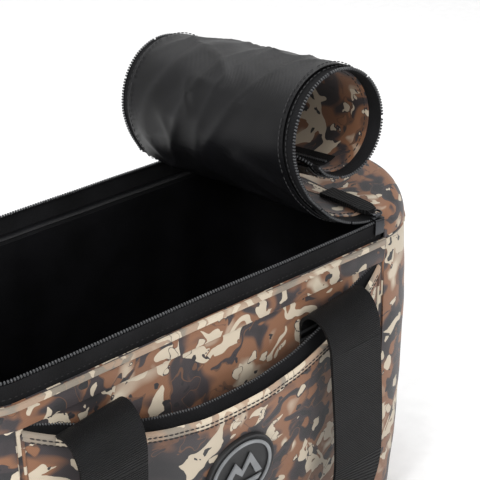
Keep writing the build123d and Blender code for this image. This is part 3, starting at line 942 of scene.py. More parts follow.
def lid_span(number):
    """Every layer of the lid in the span of one fold."""
    tag = f"{number + 1:02d}"
    cover = lid_sheet(f"lid_cover_{tag}", number, 14, 60, -COVER_EDGE, COVER_EDGE, 0.0,
                      printed, 1.0 * MM, cover_ripple, 1.0)
    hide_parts(f"lid_panel_{tag}")
    black = lid_sheet(f"lid_lining_{tag}", number, 14, 70, -COVER_EDGE - 2 * MM, COVER_EDGE + 2 * MM,
                      LID_DEPTH - 1 * MM, lining, 0.8 * MM, lining_ripple)
    sides, coils, seams = [], [], []
    for side in (-1, 1):
        y_low, y_high = sorted((side * (COVER_EDGE - 4 * MM), side * (LID_EDGE - 1.2 * MM)))
        sides.append(lid_sheet("tape_side", number, 14, 8, y_low, y_high, 2.2 * MM, tape_cloth, 1.0 * MM))
        points, ups = edge_points(number, side * (LID_EDGE - 1.2 * MM), 2.6 * MM)
        coils.append(teeth("coil_side", points, ups, coil_plastic))
        for depth, inwards in ((-0.3 * MM, 3.0 * MM), (LID_DEPTH - 0.1 * MM, 1.2 * MM),
                               (2.2 * MM + 1.3 * MM, -4.0 * MM)):
            points, ups = edge_points(number, side * (COVER_EDGE - inwards), depth)
            seams.append(stitches("seam_side", points, black_thread))
    tape = join(sides, f"lid_zipper_tape_{tag}")
    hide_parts(f"lid_tape_{tag}")
    coil = join(coils, f"lid_zipper_coil_{tag}")
    seam = join(seams, f"lid_stitches_{tag}")
    for piece in (cover, black, tape, coil, seam):
        blend_fold(piece, number)


for number in range(len(STRIPS)):
    lid_span(number)
print("lid spans", len(STRIPS))

# %% [markdown]
# ## Free end of the lid
#
# The last half strip carries the rounded corners. The outline function gives its edge, so the cover, lining and
# tape are cut to it by clamping each grid line where it meets the outline.


# %% The free end
def end_x(y, inset):
    """X of the free end's edge at y, on the outline moved in by inset."""
    radius = LEFT_RADIUS - inset
    reach = HALF - inset - radius
    past = max(0.0, abs(y) - reach)
    return LEFT + inset + radius - math.sqrt(max(radius ** 2 - min(past, radius) ** 2, 0.0))


def end_sheet(name, inset, depth, material, thickness, offset=-1.0, inner=None):
    """The last half strip of a layer, from its middle line, or from an inner outline, to the free end."""
    reach = HALF - inset
    last = len(STRIPS)
    bpy.ops.object.select_all(action="DESELECT")
    bpy.ops.mesh.primitive_grid_add(x_subdivisions=10, y_subdivisions=80, size=1)
    piece = bpy.context.object
    flat = []
    for vertex in piece.data.vertices:
        share, y = vertex.co.x + 0.5, math.sin(vertex.co.y * math.pi) * reach
        start = middle_x(last, y)
        if inner is not None and abs(y) < HALF - inner:
            start = min(start, end_x(y, inner))
        x = start + (end_x(y, inset) - start) * share
        x = min(x, start)
        flat.append((x, y))
        vertex.co = ROLLED[last] @ Vector((x, y, LID_TOP - depth))
    set_flat_uv(piece, flat)
    apply_modifier(piece, "WELD", merge_threshold=0.05 * MM)
    apply_modifier(piece, "SOLIDIFY", thickness=thickness, offset=offset, use_even_offset=True)
    finish_mesh(piece, name, material)
    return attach(piece, STRIPS[-1])


end_cover = end_sheet("lid_cover_end", 17 * MM, 0.0, printed, 1.0 * MM, 1.0)
end_lining = end_sheet("lid_lining_end", 15 * MM, LID_DEPTH - 1 * MM, lining, 0.8 * MM)
end_tape = end_sheet("lid_zipper_tape_end", 5.7 * MM, 2.2 * MM, tape_cloth, 1.0 * MM, inner=22 * MM)


def end_edge(inset, depth, count=120):
    """Points round the free end and their outward directions, in the roll."""
    points, ups = [], []
    last = len(STRIPS)
    for step in range(count + 1):
        along = RUNS[0][1] - 40 * MM + step / count * (RUNS[1][1] * 2 + RUNS[2][1] + 80 * MM)
        point, out = outline(along, inset)
        if point.x > middle_x(last, point.y):
            continue
        points.append(ROLLED[last] @ (point + Vector((0, 0, LID_TOP - depth))))
        ups.append(ROLLED[last].to_3x3() @ out)
    return points, ups


end_coil = teeth("lid_zipper_coil_end", *end_edge(5.7 * MM, 2.6 * MM), coil_plastic)
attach(end_coil, STRIPS[-1])
end_seam = join([stitches("end_seam", end_edge(inset, depth)[0], black_thread)
                 for inset, depth in ((13 * MM, -0.6 * MM), (13 * MM, LID_DEPTH + 0.4 * MM))], "lid_stitches_end")
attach(end_seam, STRIPS[-1])

# %% [markdown]
# ## Zip across the lid
#
# The lid's printed face has a flat pocket whose zip runs across the lid near its free end. Rolled up, it lies deep
# in the hollow of the roll. It is a black tape with a coil down its middle, a hair above the print.

# %% Lid pocket zip
LID_ZIP_FOLD, LID_ZIP_HALF = 8, 9 * MM


def lid_zip_point(u, v, depth):
    """A point of the zip: u across the tape, v along it."""
    y = (-1 + 2 * v) * (COVER_EDGE - 14 * MM)
    span = middle_x(LID_ZIP_FOLD, y) - middle_x(LID_ZIP_FOLD + 1, y)
    share = 0.5 + (u - 0.5) * 2 * LID_ZIP_HALF / span
    return across_fold(LID_ZIP_FOLD, share, y, depth)


lid_zip = sheet("lid_pocket_zip_tape", 12, 60, lambda u, v: lid_zip_point(u, v, -0.6 * MM),
                (2 * LID_ZIP_HALF, 0.14), tape_cloth, 0.8 * MM)
zip_line = [lid_zip_point(0.5, step / 80, -1.6 * MM) for step in range(81)]
zip_ups = [lid_zip_point(0.5, step / 80, -3.0 * MM) - zip_line[step] for step in range(81)]
lid_zip_coil = teeth("lid_pocket_zip_coil", zip_line, zip_ups, coil_plastic)
zip_edges = [[lid_zip_point(u, step / 80, -0.9 * MM) for step in range(81)] for u in (0.06, 0.94)]
lid_zip_seams = join([stitches("zip_seam", edge, black_thread) for edge in zip_edges], "lid_pocket_zip_stitches")
for piece in (lid_zip, lid_zip_coil, lid_zip_seams):
    blend_fold(piece, LID_ZIP_FOLD)

# %% [markdown]
# ## Deck of the right end
#
# The lid is sewn to a fixed deck at the right end. Its left part is flat and lies between the two sliders. Its
# right part is a crowned gusset, which rounds down to the end panel all round. A welt marks the seam between them.

# %% Crowned deck
DECK_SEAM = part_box("rim_coil")[1].x + 2 * MM
DECK_EDGE_Z = HEM_HIGH + 0.3 * MM
DECK_ROUND = 13 * MM


def deck_height(x, y):
    """Height of the deck at a place, crowned towards the middle and the right."""
    rise = min(1.0, max(0.0, (x - DECK_SEAM + 8 * MM) / (48 * MM)))
    crown = 1 - min(1.0, abs(y) / HALF) ** 2
    soft = folds(x, y, 41.0, 20.0, 14.0) * 1.3 * MM * (rise + 0.15)
    return 290 * MM + 15 * MM * rise * rise * (3 - 2 * rise) * crown - 0.6 * MM + soft


def gusset_place(u, v):
    """From the end seam up over the rounded edge and in to the deck's seam."""
    along = BACK_SEAM_RIGHT + u * (PERIMETER - BACK_SEAM_RIGHT)
    point, out = outline(along)
    side_share = 0.4
    if v < side_share:
        turn = v / side_share * math.pi / 2
        inset = DECK_ROUND * (1 - math.cos(turn))
        low = 1 - math.sin(turn)
    else:
        inset = DECK_ROUND + (RIGHT_RADIUS - 1.2 * MM - DECK_ROUND) * (v - side_share) / (1 - side_share)
        low = 0.0
    point, out = outline(along, inset)
    top = deck_height(point.x, point.y)
    point.z = top + (DECK_EDGE_Z - top) * low
    return point - out * folds(along, v, 43.0, 12.0, 2.0) * 1.2 * MM


gusset = sheet("deck_gusset", 150, 46, gusset_place, (PERIMETER - BACK_SEAM_RIGHT, 0.11), printed, 1.2 * MM)


def flat_deck_place(u, v):
    """The flat part between the lid's first fold and the gusset."""
    y = (2 * v - 1) * 98 * MM
    x = middle_x(0, y) + u * (DECK_SEAM + 0.5 * MM - middle_x(0, y))
    drop = max(0.0, abs(y) - 93 * MM) / (5 * MM)
    return Vector((x, y, deck_height(x, y) + 0.9 * MM * (1 - u) - 4 * MM * drop ** 2))


flat_deck = sheet("deck_flat_cloth", 20, 90, flat_deck_place, (0.04, 0.196), printed, 1.2 * MM, 1.0)
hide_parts("end_deck")
for piece in (gusset, flat_deck):
    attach(piece, "bag")


for name, inset_from in (("deck_seam_welt", None), ("end_seam_welt", 0.0)):
    if inset_from is None:
        points = [Vector((DECK_SEAM, (2 * s / 60 - 1) * 97 * MM, 0)) for s in range(61)]
        points = [Vector((p.x, p.y, deck_height(p.x, p.y) + 0.2 * MM)) for p in points]
    else:
        points = []
        for s in range(121):
            point, out = outline(BACK_SEAM_RIGHT + 3 * MM + s / 120 * (PERIMETER - BACK_SEAM_RIGHT - 6 * MM))
            points.append(point + out * 0.5 * MM + Vector((0, 0, DECK_EDGE_Z)))
    welt = finish_mesh(seam_welt(name, points), name, printed)
    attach(welt, "bag")
deck_line = [Vector((DECK_SEAM - 4 * MM, (2 * s / 80 - 1) * 92 * MM, 0)) for s in range(81)]
deck_line = [Vector((p.x, p.y, deck_height(p.x, p.y) + 1.3 * MM)) for p in deck_line]
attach(stitches("deck_stitches", deck_line, thread), "bag")

# %% [markdown]
# ## Front pocket
#
# The pocket is a single sheet, sewn at the corners and bowed out, so its mouth gapes. The mouth is turned over
# twice and stitched, which gives two ridges, painted paler as a highlight where they catch the light. A half
# zipper tape, for the hidden flap, stands behind them.

# %% Pocket shape
pocket_low, pocket_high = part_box("pocket_panel")
POCKET_LEFT, POCKET_RIGHT = pocket_low.x, pocket_high.x
POCKET_WIDTH = POCKET_RIGHT - POCKET_LEFT
POCKET_WALL = -HALF - 0.4 * MM
POCKET_FLOOR_Z, MOUTH_CORNER_Z, MOUTH_SAG = pocket_low.z, 250 * MM, 41 * MM
GAPE_LOW, GAPE_HIGH = 7 * MM, 30 * MM


def mouth_z(u):
    """Height of the pocket's mouth across its width."""
    return MOUTH_CORNER_Z - MOUTH_SAG * (1 - (2 * u - 1) ** 2) + folds(u, 0, 51.0, 5.0) * 1.5 * MM


def pocket_point(u, z, proud=0.0):
    """A point of the bowed pocket sheet at a height."""
    bow = 1 - abs(2 * u - 1) ** 2.2
    share = (z - POCKET_FLOOR_Z) / (MOUTH_CORNER_Z - POCKET_FLOOR_Z)
    gape = (GAPE_LOW + (GAPE_HIGH - GAPE_LOW) * share) * bow
    drape = folds(u * 0.33, z, 53.0, 22.0, 7.0) * 2.6 * MM * bow
    return Vector((POCKET_LEFT + u * POCKET_WIDTH, POCKET_WALL - gape - drape - proud, z))


def pocket_place(u, v):
    return pocket_point(u, POCKET_FLOOR_Z + v * (mouth_z(u) - 1 * MM - POCKET_FLOOR_Z))


pocket = sheet("pocket_cloth", 150, 90, pocket_place, (POCKET_WIDTH, 0.2), printed, 1.4 * MM, 1.0)
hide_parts("pocket_panel")
hem_bands = []
for number, (top, bottom) in enumerate(((0.0, 3.0), (3.0, 6.0))):
    def hem_place(u, v, top=top * MM, bottom=bottom * MM):
        swell = math.sin(math.pi * v) ** 0.6
        return pocket_point(u, mouth_z(u) - bottom + v * (bottom - top), 0.2 * MM + 1.7 * MM * swell)
    # The two hem ridges in the paler print: a painted highlight along them.
    hem_bands.append(sheet(f"pocket_hem_{number + 1}", 200, 8, hem_place, (POCKET_WIDTH, 6 * MM),
                           highlit_edge_print, 1.3 * MM, 1.0))
pocket_hem = join(hem_bands, "pocket_hem_cloth")
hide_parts("pocket_hem")


def pocket_tape_place(u, v):
    """The half zipper tape, leaning back from behind the hem."""
    point = pocket_point(u, mouth_z(u) - 4 * MM + v * 10 * MM)
    return point + Vector((0, (3.0 + 6 * v) * MM * min(1.0, 12 * min(u, 1 - u)), 0))


pocket_tape = sheet("pocket_zipper_tape", 200, 8, pocket_tape_place, (POCKET_WIDTH, 12 * MM),
                    tape_cloth, 0.9 * MM, 1.0)
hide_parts("pocket_zip_tape")
tape_line = [pocket_tape_place(0.02 + 0.96 * s / 240, 1.0) for s in range(241)]
pocket_coil = teeth("pocket_zipper_coil", tape_line, [Vector((0, 0.4, 1))] * 241, coil_plastic)
for piece, name in ((pocket, "printed_fabric"), (pocket_hem, "printed_fabric"),
                    (pocket_tape, "zipper_tape"), (pocket_coil, "zipper_coil")):
    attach(piece, "bag")
seam_steps = [0.01 + 0.98 * step / 240 for step in range(241)]
seam_lines = [[pocket_point(u, mouth_z(u) - drop * MM, 3.1 * MM) for u in seam_steps] for drop in (3.0, 6.6)]
pocket_seams = join([stitches("seam", line, thread, thick=1.2 * MM) for line in seam_lines], "pocket_stitches")
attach(pocket_seams, "bag")

# %% Pocket edges
for side, u in (("left", 0.0), ("right", 1.0)):
    edge = [pocket_point(u, z * MM, 0.6 * MM) for z in range(23, 249, 5)]
    edge = [Vector((p.x, POCKET_WALL - 1.6 * MM, p.z)) for p in edge]
    welt = finish_mesh(seam_welt(f"pocket_{side}_welt", edge, 1.3 * MM), f"pocket_{side}_welt", printed)
    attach(welt, "bag")

# %% [markdown]
# ## Badge
#
# A moulded rubber disc with a raised rim is sewn to the pocket. Its emblem, two peaks over a wave, is the CAD's own
# relief, which only needs a finish. The disc is a cylinder whose top is inset and sunk, then bevelled.

# %% Badge disc
badge_low, badge_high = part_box("badge_disc")
badge_middle = (badge_low + badge_high) / 2
bpy.ops.object.select_all(action="DESELECT")
bpy.ops.mesh.primitive_cylinder_add(vertices=128, radius=33 * MM, depth=4 * MM, end_fill_type="NGON")
badge = bpy.context.object
bpy.ops.object.mode_set(mode="EDIT")
bpy.ops.mesh.select_mode(type="FACE")
bpy.ops.mesh.select_all(action="DESELECT")
bpy.ops.object.mode_set(mode="OBJECT")
for face in badge.data.polygons:
    face.select = face.normal.z > 0.9
bpy.ops.object.mode_set(mode="EDIT")
bpy.ops.mesh.inset(thickness=1.8 * MM)
bpy.ops.mesh.inset(thickness=0.7 * MM, depth=-0.8 * MM)
bpy.ops.object.mode_set(mode="OBJECT")
apply_modifier(badge, "BEVEL", width=0.5 * MM, segments=3, limit_method="ANGLE", angle_limit=math.radians(40))
BADGE_LEAN = 0.103
badge.data.transform(Matrix.Translation(badge_middle) @ Matrix.Rotation(math.pi / 2 + BADGE_LEAN, 4, "X"))
finish_mesh(badge, "badge_rubber_disc", rubber)
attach(badge, "bag")
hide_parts("badge_disc")
emblem = frame["nodes"]["badge_emblem"]
emblem.data.materials.clear()
emblem.data.materials.append(relief)

# %% [markdown]
# ## Carry handles
#
# Each handle is one length of wide webbing. Its ends are sewn inside the pocket mouth, it turns over the hem in a
# soft arch, and hangs. At the bottom the webbing narrows into a padded grip.

# %% Handle webbing
WEBBING = 52 * MM


def leg_line(hinge, wall, top, drop, low):
    """Route of one leg in depth and height: up the wall, over the hem in a round arch, and down to the loop."""
    out = math.copysign(1, hinge.y)
    shoulder = top - 15 * MM
    steps = [(wall + out * 2.0 * MM, low + (shoulder - low) * step / 11) for step in range(12)]
    depth = abs(hinge.y - wall) - 2.0 * MM
    hang = hinge.z - drop
    for step in range(1, 19):
        turn = math.pi * step / 36
        y = wall + out * (2.0 * MM + depth * 0.42 * (1 - math.cos(turn)))
        steps.append((y, shoulder + 15 * MM * math.sin(turn)))
    for step in range(1, 25):
        turn = math.pi / 2 * step / 24
        y = wall + out * (2.0 * MM + depth * (0.42 + 0.58 * math.sin(turn)))
        steps.append((y, hang + (top - hang) * math.cos(turn)))
    return steps


def strap_sheet(name, stations, width, thickness, material, columns=12):
    """Webbing through stations of (left edge, right edge)."""
    lengths = [0.0]
    for before, after in zip(stations, stations[1:]):
        lengths.append(lengths[-1] + ((after[0] + after[1]) / 2 - (before[0] + before[1]) / 2).length)

    def place(u, v):
        spot = v * (len(stations) - 1)
        index = min(int(spot), len(stations) - 2)
        left = stations[index][0].lerp(stations[index + 1][0], spot - index)
        right = stations[index][1].lerp(stations[index + 1][1], spot - index)
        return left.lerp(right, u)

    return sheet(name, columns, len(stations) - 1, place, (width, lengths[-1]), material, thickness, 0.0, False)


def loop_outline(hinge, half_outer, radius, bottom, drop, turn_steps=14, leg_steps=26):
    """Edge of the hanging loop, from the left fold round the bottom to the right fold."""
    points = []
    straight = bottom + radius
    for step in range(leg_steps + 1):
        points.append((-half_outer, hinge.z - drop + (straight - hinge.z + drop) * step / leg_steps))
    for step in range(1, turn_steps + 1):
        angle = math.pi / 2 * step / turn_steps
        points.append((-half_outer + radius * (1 - math.cos(angle)), straight - radius * math.sin(angle)))
    width = 2 * (half_outer - radius)
    for step in range(1, 13):
        points.append((-half_outer + radius + width * step / 12, bottom))
    for step in range(1, turn_steps + 1):
        angle = math.pi / 2 * (1 - step / turn_steps)
        points.append((half_outer - radius * (1 - math.cos(angle)), straight - radius * math.sin(angle)))
    for step in range(1, leg_steps + 1):
        points.append((half_outer, straight + (hinge.z - drop - straight) * step / leg_steps))
    return points


def leg_lean(x, z):
    """The legs lean in a little towards their tops, the right one more."""
    share = min(1.0, max(0.0, (z - 110 * MM) / (130 * MM)))
    share = share * share * (3 - 2 * share)
    return -10 * MM * share if x > 60 * MM else 3 * MM * share if x < -60 * MM else 0.0


def handle(name, joint_name, wall, top, drop, low):
    """One carry handle: its hanging loop and its two arched ends, and the box of its padded grip."""
    joint = next(j for j in frame["joints"] if j["name"] == joint_name)
    hinge = Vector(joint["pos_m"])
    loop_low, loop_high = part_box(f"handle_{name}")
    grip_low, grip_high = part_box(f"handle_{name}_grip")
    half_outer = (loop_high.x - loop_low.x) / 2
    outer = loop_outline(hinge, half_outer, 70 * MM, loop_low.z, drop)
    inner = loop_outline(hinge, half_outer - WEBBING, 44 * MM, loop_low.z + 28 * MM, drop)
    stations = []
    for (x1, z1), (x2, z2) in zip(outer, inner):
        bow = folds(x1, z1, 61.0, 9.0, 9.0) * 1.2 * MM
        stations.append((Vector((hinge.x + x1 + leg_lean(x1, z1), hinge.y + bow, z1)),
                         Vector((hinge.x + x2 + leg_lean(x2, z2), hinge.y + bow, z2))))
    loop = strap_sheet(f"handle_{name}_webbing", stations, WEBBING, 2.4 * MM, webbing)
    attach(loop, f"handle_{name}_loop")
    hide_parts(f"handle_{name}")
    ends = []
    for side in (-1, 1):
        centre = hinge.x + side * (half_outer - WEBBING / 2)
        route = leg_line(hinge, wall, top, drop, low)
        route += [(hinge.y, hinge.z - drop - 2.5 * MM * step) for step in range(1, 4)]
        stations = []
        for number, (y, z) in enumerate(route):
            tilt = 3.5 * MM * math.sin(math.pi * min(1.0, number / len(route)))
            leaning = centre + leg_lean(side * 0.1, z)
            stations.append((Vector((leaning - WEBBING / 2, y, z - tilt)),
                             Vector((leaning + WEBBING / 2, y, z + tilt))))
        ends.append(strap_sheet("end", stations, WEBBING, 2.6 * MM, webbing))
    arch = join(ends, f"handle_{name}_arches")
    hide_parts(f"handle_{name}_anchors")
    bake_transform(arch)
    return loop, arch, grip_low, grip_high


def padded_grip(name, low, high):
    """The grip's padded sleeve: a stuffed tube with a sewn seam, from a cube that is subdivided and smoothed."""
    middle, size = (low + high) / 2, high - low
    bpy.ops.object.select_all(action="DESELECT")
    bpy.ops.mesh.primitive_cube_add(size=1, location=(0, 0, 0))
    piece = bpy.context.object
    piece.data.transform(Matrix.Diagonal((*size, 1)))
    bpy.ops.object.mode_set(mode="EDIT")
    bpy.ops.mesh.select_all(action="SELECT")
    bpy.ops.mesh.subdivide(number_cuts=7)
    bpy.ops.object.mode_set(mode="OBJECT")
    apply_modifier(piece, "SUBSURF", levels=2, render_levels=2)
    for vertex in piece.data.vertices:
        along = vertex.co.x / (size.x / 2)
        wrinkle = folds(vertex.co.x, vertex.co.z, 71.0, 30.0, 40.0)
        swell = 1.0 + 0.05 * math.cos(along * math.pi * 0.5) + 0.02 * wrinkle
        vertex.co.y *= swell * 1.08
        vertex.co.z *= swell
    piece.data.transform(Matrix.Translation(middle))
    layer = piece.data.uv_layers.active
    for loop, uv in zip(piece.data.loops, layer.data):
        co = piece.data.vertices[loop.vertex_index].co
        uv.uv = (co.x, co.z + co.y)
    finish_mesh(piece, f"handle_{name}_padded_grip", grip_cloth)
    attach(piece, f"handle_{name}_loop")
    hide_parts(f"handle_{name}_grip")
    for end_x in (low.x + 4 * MM, high.x - 4 * MM):
        ring = []
        for step in range(49):
            angle = math.tau * step / 48
            ring.append(Vector((end_x, middle.y + math.cos(angle) * (size.y / 2 + 0.3 * MM),
                                middle.z + math.sin(angle) * (size.z / 2 + 0.1 * MM))))
        seam = stitches(f"handle_{name}_grip_seam_{'left' if end_x < middle.x else 'right'}", ring, black_thread)
        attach(seam, f"handle_{name}_loop")


grip_cloth = cloth_material("grip_cloth", srgb(14, 14, 15), srgb(24, 24, 26), 0.7, weave_group, 800, 0.5, 0.0005,
                            Specular_IOR_Level=0.15)
HANDLES = [
    ("front", "handle_front_lift", -HALF - 1.5 * MM, 246 * MM, 32 * MM, 140 * MM),
    ("back", "handle_back_lift", HALF - 1.4 * MM, 253 * MM, 22 * MM, 185 * MM),
]
for name, joint_name, wall, top, drop, low in HANDLES:
    loop, arch, grip_low, grip_high = handle(name, joint_name, wall, top, drop, low)
    padded_grip(name, grip_low, grip_high)

# %% [markdown]
# ## Sliders and pulls
#
# Each slider is two thin plates that clasp the coil, with a bridge that holds a wire ring. Ribbed webbing is folded
# through the ring and sewn. The small parts are boxes, bevelled and joined.

# %% Sliders and pulls


def small_box(size, centre, bevel):
    """A bevelled box for small hardware."""
    bpy.ops.object.select_all(action="DESELECT")
    bpy.ops.mesh.primitive_cube_add(size=1)
    piece = bpy.context.object
    piece.data.transform(Matrix.Translation(centre) @ Matrix.Diagonal((*size, 1)))
    apply_modifier(piece, "BEVEL", width=bevel, segments=3, limit_method="NONE")
    return piece


def wire_ring(centre, radii, wire, turn):
    """An oval wire ring: a torus, stretched and turned."""
    bpy.ops.object.select_all(action="DESELECT")
    bpy.ops.mesh.primitive_torus_add(major_radius=1, minor_radius=0.1, major_segments=40, minor_segments=10)
    piece = bpy.context.object
    for vertex in piece.data.vertices:
        flat = Vector((vertex.co.x, vertex.co.y, 0))
        way = flat.normalized()
        across = (flat.length - 1) / 0.1
        thick = Vector((0, 0, vertex.co.z / 0.1 * wire))
        vertex.co = Vector((way.x * radii[0], way.y * radii[1], 0)) + way * across * wire + thick
    piece.data.transform(Matrix.Translation(centre) @ turn.to_4x4())
    return piece


def zip_slider(side, name):
    """One slider on its body, and its pull on the pull's body."""
    low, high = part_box(f"slider_{name}")
    middle = (low + high) / 2
    plates = [
        small_box((9.6 * MM, 1.5 * MM, 12 * MM), (middle.x, side * 103.0 * MM, 283.5 * MM), 0.5 * MM),
        small_box((9.6 * MM, 1.2 * MM, 7 * MM), (middle.x, side * 96.9 * MM, 286.8 * MM), 0.4 * MM),
        small_box((9.6 * MM, 7.2 * MM, 1.5 * MM), (middle.x, side * 100.0 * MM, 290.2 * MM), 0.5 * MM),
        small_box((6.5 * MM, 1.6 * MM, 3.4 * MM), (middle.x, side * 101.0 * MM, 293.2 * MM), 0.6 * MM),
    ]
    body = join(plates, f"zip_slider_{name}_body")
    finish_mesh(body, f"zip_slider_{name}_body", metal)
    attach(body, f"zip_slider_{name}")
    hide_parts(f"slider_{name}")
    ring = wire_ring(Vector((middle.x, side * 97.5 * MM, 294.2 * MM)), (4.6 * MM, 5.4 * MM), 0.8 * MM,
                     Matrix.Rotation(side * math.radians(4), 3, "X"))
    finish_mesh(ring, f"zip_ring_{name}", metal)
    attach(ring, f"zip_pull_{name}")
    stations = []
    length = 50 * MM
    for number in range(41):
        share = number / 40
        y = side * (94.5 * MM - share * length)
        z = 294 * MM + 1.1 * MM * math.sin(share * 5.0) * share
        half = 7.6 * MM * (0.55 + 0.45 * min(1.0, share * 7))
        stations.append((Vector((middle.x - half, y, z)), Vector((middle.x + half, y, z))))
    layers = []
    for lift in (-0.9 * MM, 0.9 * MM):
        shifted = [(a + Vector((0, 0, lift)), b + Vector((0, 0, lift))) for a, b in stations]
        layers.append(strap_sheet("layer", shifted, 15 * MM, 1.5 * MM, webbing, 8))
    pull = join(layers, f"zip_pull_{name}_webbing")
    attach(pull, f"zip_pull_{name}")
    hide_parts(f"pull_{name}")
    line = [Vector((middle.x - 6 * MM + 12 * MM * s / 12, side * 84 * MM, 295.9 * MM)) for s in range(13)]
    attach(stitches(f"zip_pull_{name}_stitches", line, black_thread), f"zip_pull_{name}")


zip_slider(-1, "front")
zip_slider(1, "back")

# %% [markdown]
# ## End webbing, rings and hooks
#
# Down each end runs a vertical band of webbing, sewn over the seam. At its top a loop holds a wire D-ring, and the
# strap's moulded hook hangs in the ring.

# %% End fittings
def end_fitting(side, name):
    """The band, loop, D-ring and hook of one end."""
    band_low, band_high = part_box(f"end_webbing_{name}")
    wall = RIGHT if side > 0 else LEFT
    stations = []
    for number in range(61):
        z = band_low.z + (band_high.z - band_low.z) * number / 60
        swell = (5 if side > 0 else 6) * MM * math.sin(math.pi * min(1.0, z / HEM_HIGH)) ** 0.8
        x = wall + side * (2.6 * MM + swell)
        half = 25 * MM
        stations.append((Vector((x, -half, z)), Vector((x, half, z))))
    band = strap_sheet("band", stations, 50 * MM, 2.2 * MM, webbing)
    loop_stations = []
    ring_x = wall + side * 6.5 * MM
    for number in range(25):
        angle = math.pi * 2 * number / 24
        x, z = ring_x + side * 4.6 * MM * math.cos(angle), 260 * MM + 9 * MM * math.sin(angle)
        loop_stations.append((Vector((x, -13 * MM, z)), Vector((x, 13 * MM, z))))
    loop = strap_sheet("loop", loop_stations, 26 * MM, 1.8 * MM, webbing)
    both = join([band, loop], f"end_webbing_{name}_band")
    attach(both, "bag")
    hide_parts(f"end_webbing_{name}")
    lines = []
    for y in (-22.5 * MM, 22.5 * MM):
        line = [Vector((first.x + side * 1.2 * MM, y, first.z)) for first, last in stations[1:-1]]
        lines.append(stitches("line", line, black_thread))
    seam = join(lines, f"end_webbing_{name}_stitches")
    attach(seam, "bag")
    ring_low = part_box(f"d_ring_{name}")[0]
    bpy.ops.object.select_all(action="DESELECT")
    bpy.ops.mesh.primitive_torus_add(major_radius=22 * MM, minor_radius=2.4 * MM,
                                     major_segments=64, minor_segments=16)
    ring = bpy.context.object
    base = ring_low.z + 2.4 * MM - 282 * MM
    for vertex in ring.data.vertices:
        spot = vertex.co
        y, z, x = spot.x, spot.y, spot.z
        if z < base + 3 * MM:
            centre_z = spot.normalized().y * 22 * MM
            z = base + (z - centre_z) if centre_z < base else z
        vertex.co = Vector((ring_x + x, y, 282 * MM + z))
    bpy.ops.object.mode_set(mode="EDIT")
    bpy.ops.mesh.select_all(action="SELECT")
    bpy.ops.mesh.normals_make_consistent(inside=False)
    bpy.ops.object.mode_set(mode="OBJECT")
    finish_mesh(ring, f"d_ring_{name}_wire", metal)
    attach(ring, "bag")
    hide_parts(f"d_ring_{name}")
    hook_low, hook_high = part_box(f"strap_hook_{name}")
    middle = (hook_low + hook_high) / 2
    shell = small_box((9 * MM, 17 * MM, 23 * MM), middle, 3.6 * MM)
    collar = small_box((9.6 * MM, 13 * MM, 4 * MM), middle + Vector((0, 0, 6 * MM)), 1.2 * MM)
    eye = wire_ring(Vector((middle.x, middle.y, hook_low.z - 3 * MM)), (6 * MM, 7 * MM), 1.6 * MM,
                    Matrix.Rotation(math.pi / 2, 3, "Y") @ Matrix.Rotation(math.pi / 2, 3, "Z"))
    hook = join([shell, collar, eye], f"strap_hook_{name}_moulding")
    finish_mesh(hook, f"strap_hook_{name}_moulding", plastic)
    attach(hook, "bag")
    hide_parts(f"strap_hook_{name}")


end_fitting(1, "right")
end_fitting(-1, "left")

# %% [markdown]
# ## Shoulder strap
#
# The strap is flat webbing, hooked to both D-rings and let down behind the bag, where it lies on the floor. Its
# route is a smooth spline through a few chosen points, and the webbing is laid along it like a ribbon.

# %% Strap
STRAP_ROUTE = [
    (241.5, 9, 322), (250, 34, 330), (256, 68, 318), (252, 100, 280), (240, 122, 225), (222, 133, 160),
    (204, 139, 95), (184, 142, 40), (140, 145, 8), (60, 148, 7), (-30, 146, 7), (-100, 143, 9),
    (-146, 139, 38), (-164, 134, 95), (-180, 126, 160), (-196, 108, 222), (-206, 76, 276), (-206, 40, 318),
    (-199.5, 9, 322),
]


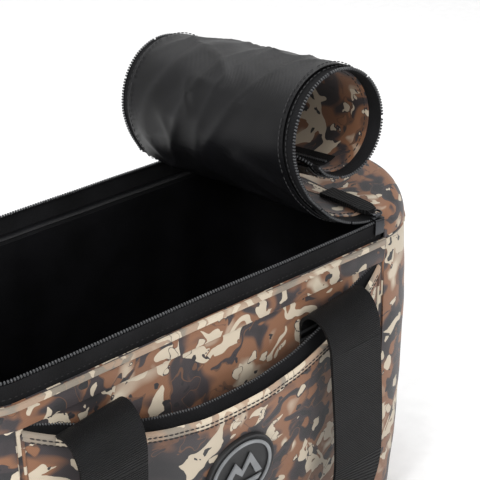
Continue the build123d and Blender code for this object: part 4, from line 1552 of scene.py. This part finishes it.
def route_line(points):
    """Points along the smooth spline of a route given in millimetres."""
    curve = bpy.data.curves.new("route", "CURVE")
    curve.dimensions = "3D"
    curve.resolution_u = 12
    spline = curve.splines.new("NURBS")
    spline.points.add(len(points) - 1)
    for point, target in zip(points, spline.points):
        target.co = (*(v * MM for v in point), 1)
    spline.order_u = 3
    spline.use_endpoint_u = True
    holder = bpy.data.objects.new("route", curve)
    mesh = bpy.data.meshes.new_from_object(holder)
    line = [vertex.co.copy() for vertex in mesh.vertices]
    bpy.data.objects.remove(holder)
    bpy.data.curves.remove(curve)
    bpy.data.meshes.remove(mesh)
    return line


strap_line = route_line(STRAP_ROUTE)
stations = []
for number, point in enumerate(strap_line):
    way = (strap_line[min(number + 1, len(strap_line) - 1)] - strap_line[max(number - 1, 0)]).normalized()
    outward = Vector((point.x - 20 * MM, point.y * 1.6, 0)).normalized()
    upright = min(1.0, abs(way.z) * 1.6)
    normal = (outward * upright + Vector((0, 0.35, 1)) * (1 - upright)).normalized()
    side = way.cross(normal).normalized()
    half = 19 * MM * min(1.0, 0.45 + min(number, len(strap_line) - 1 - number) / 10)
    if stations and side.dot(stations[-1][1] - stations[-1][0]) < 0:
        side = -side
    stations.append((point - side * half, point + side * half))
for number, (first, last) in enumerate(stations):
    low = min(first.z, last.z)
    if low < 1.4 * MM:
        lift = Vector((0, 0, 1.4 * MM - low))
        stations[number] = (first + lift, last + lift)
strap = strap_sheet("shoulder_strap_webbing", stations, 38 * MM, 2.0 * MM, webbing, 10)
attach(strap, "bag")
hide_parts("shoulder_strap")
strap_length = sum((b - a).length for a, b in zip(strap_line, strap_line[1:]))
print("strap length", round(strap_length, 3))

# %% Strap adjuster
adjuster = frame["nodes"]["strap_adjuster"]
adjuster.data.materials.clear()
adjuster.data.materials.append(plastic)
for name, node in frame["nodes"].items():
    if not node.hide_render:
        print("CAD node shown:", name)

# %% [markdown]
# ## Size
#
# Both boxes, the CAD's and the visual model's, are printed.

# %% Sizes and finish
low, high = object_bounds()
{"cad": [list(cad_low), list(cad_high)], "visual": [list(low), list(high)]}
print("visual box", [round(v, 3) for v in low], [round(v, 3) for v in high])
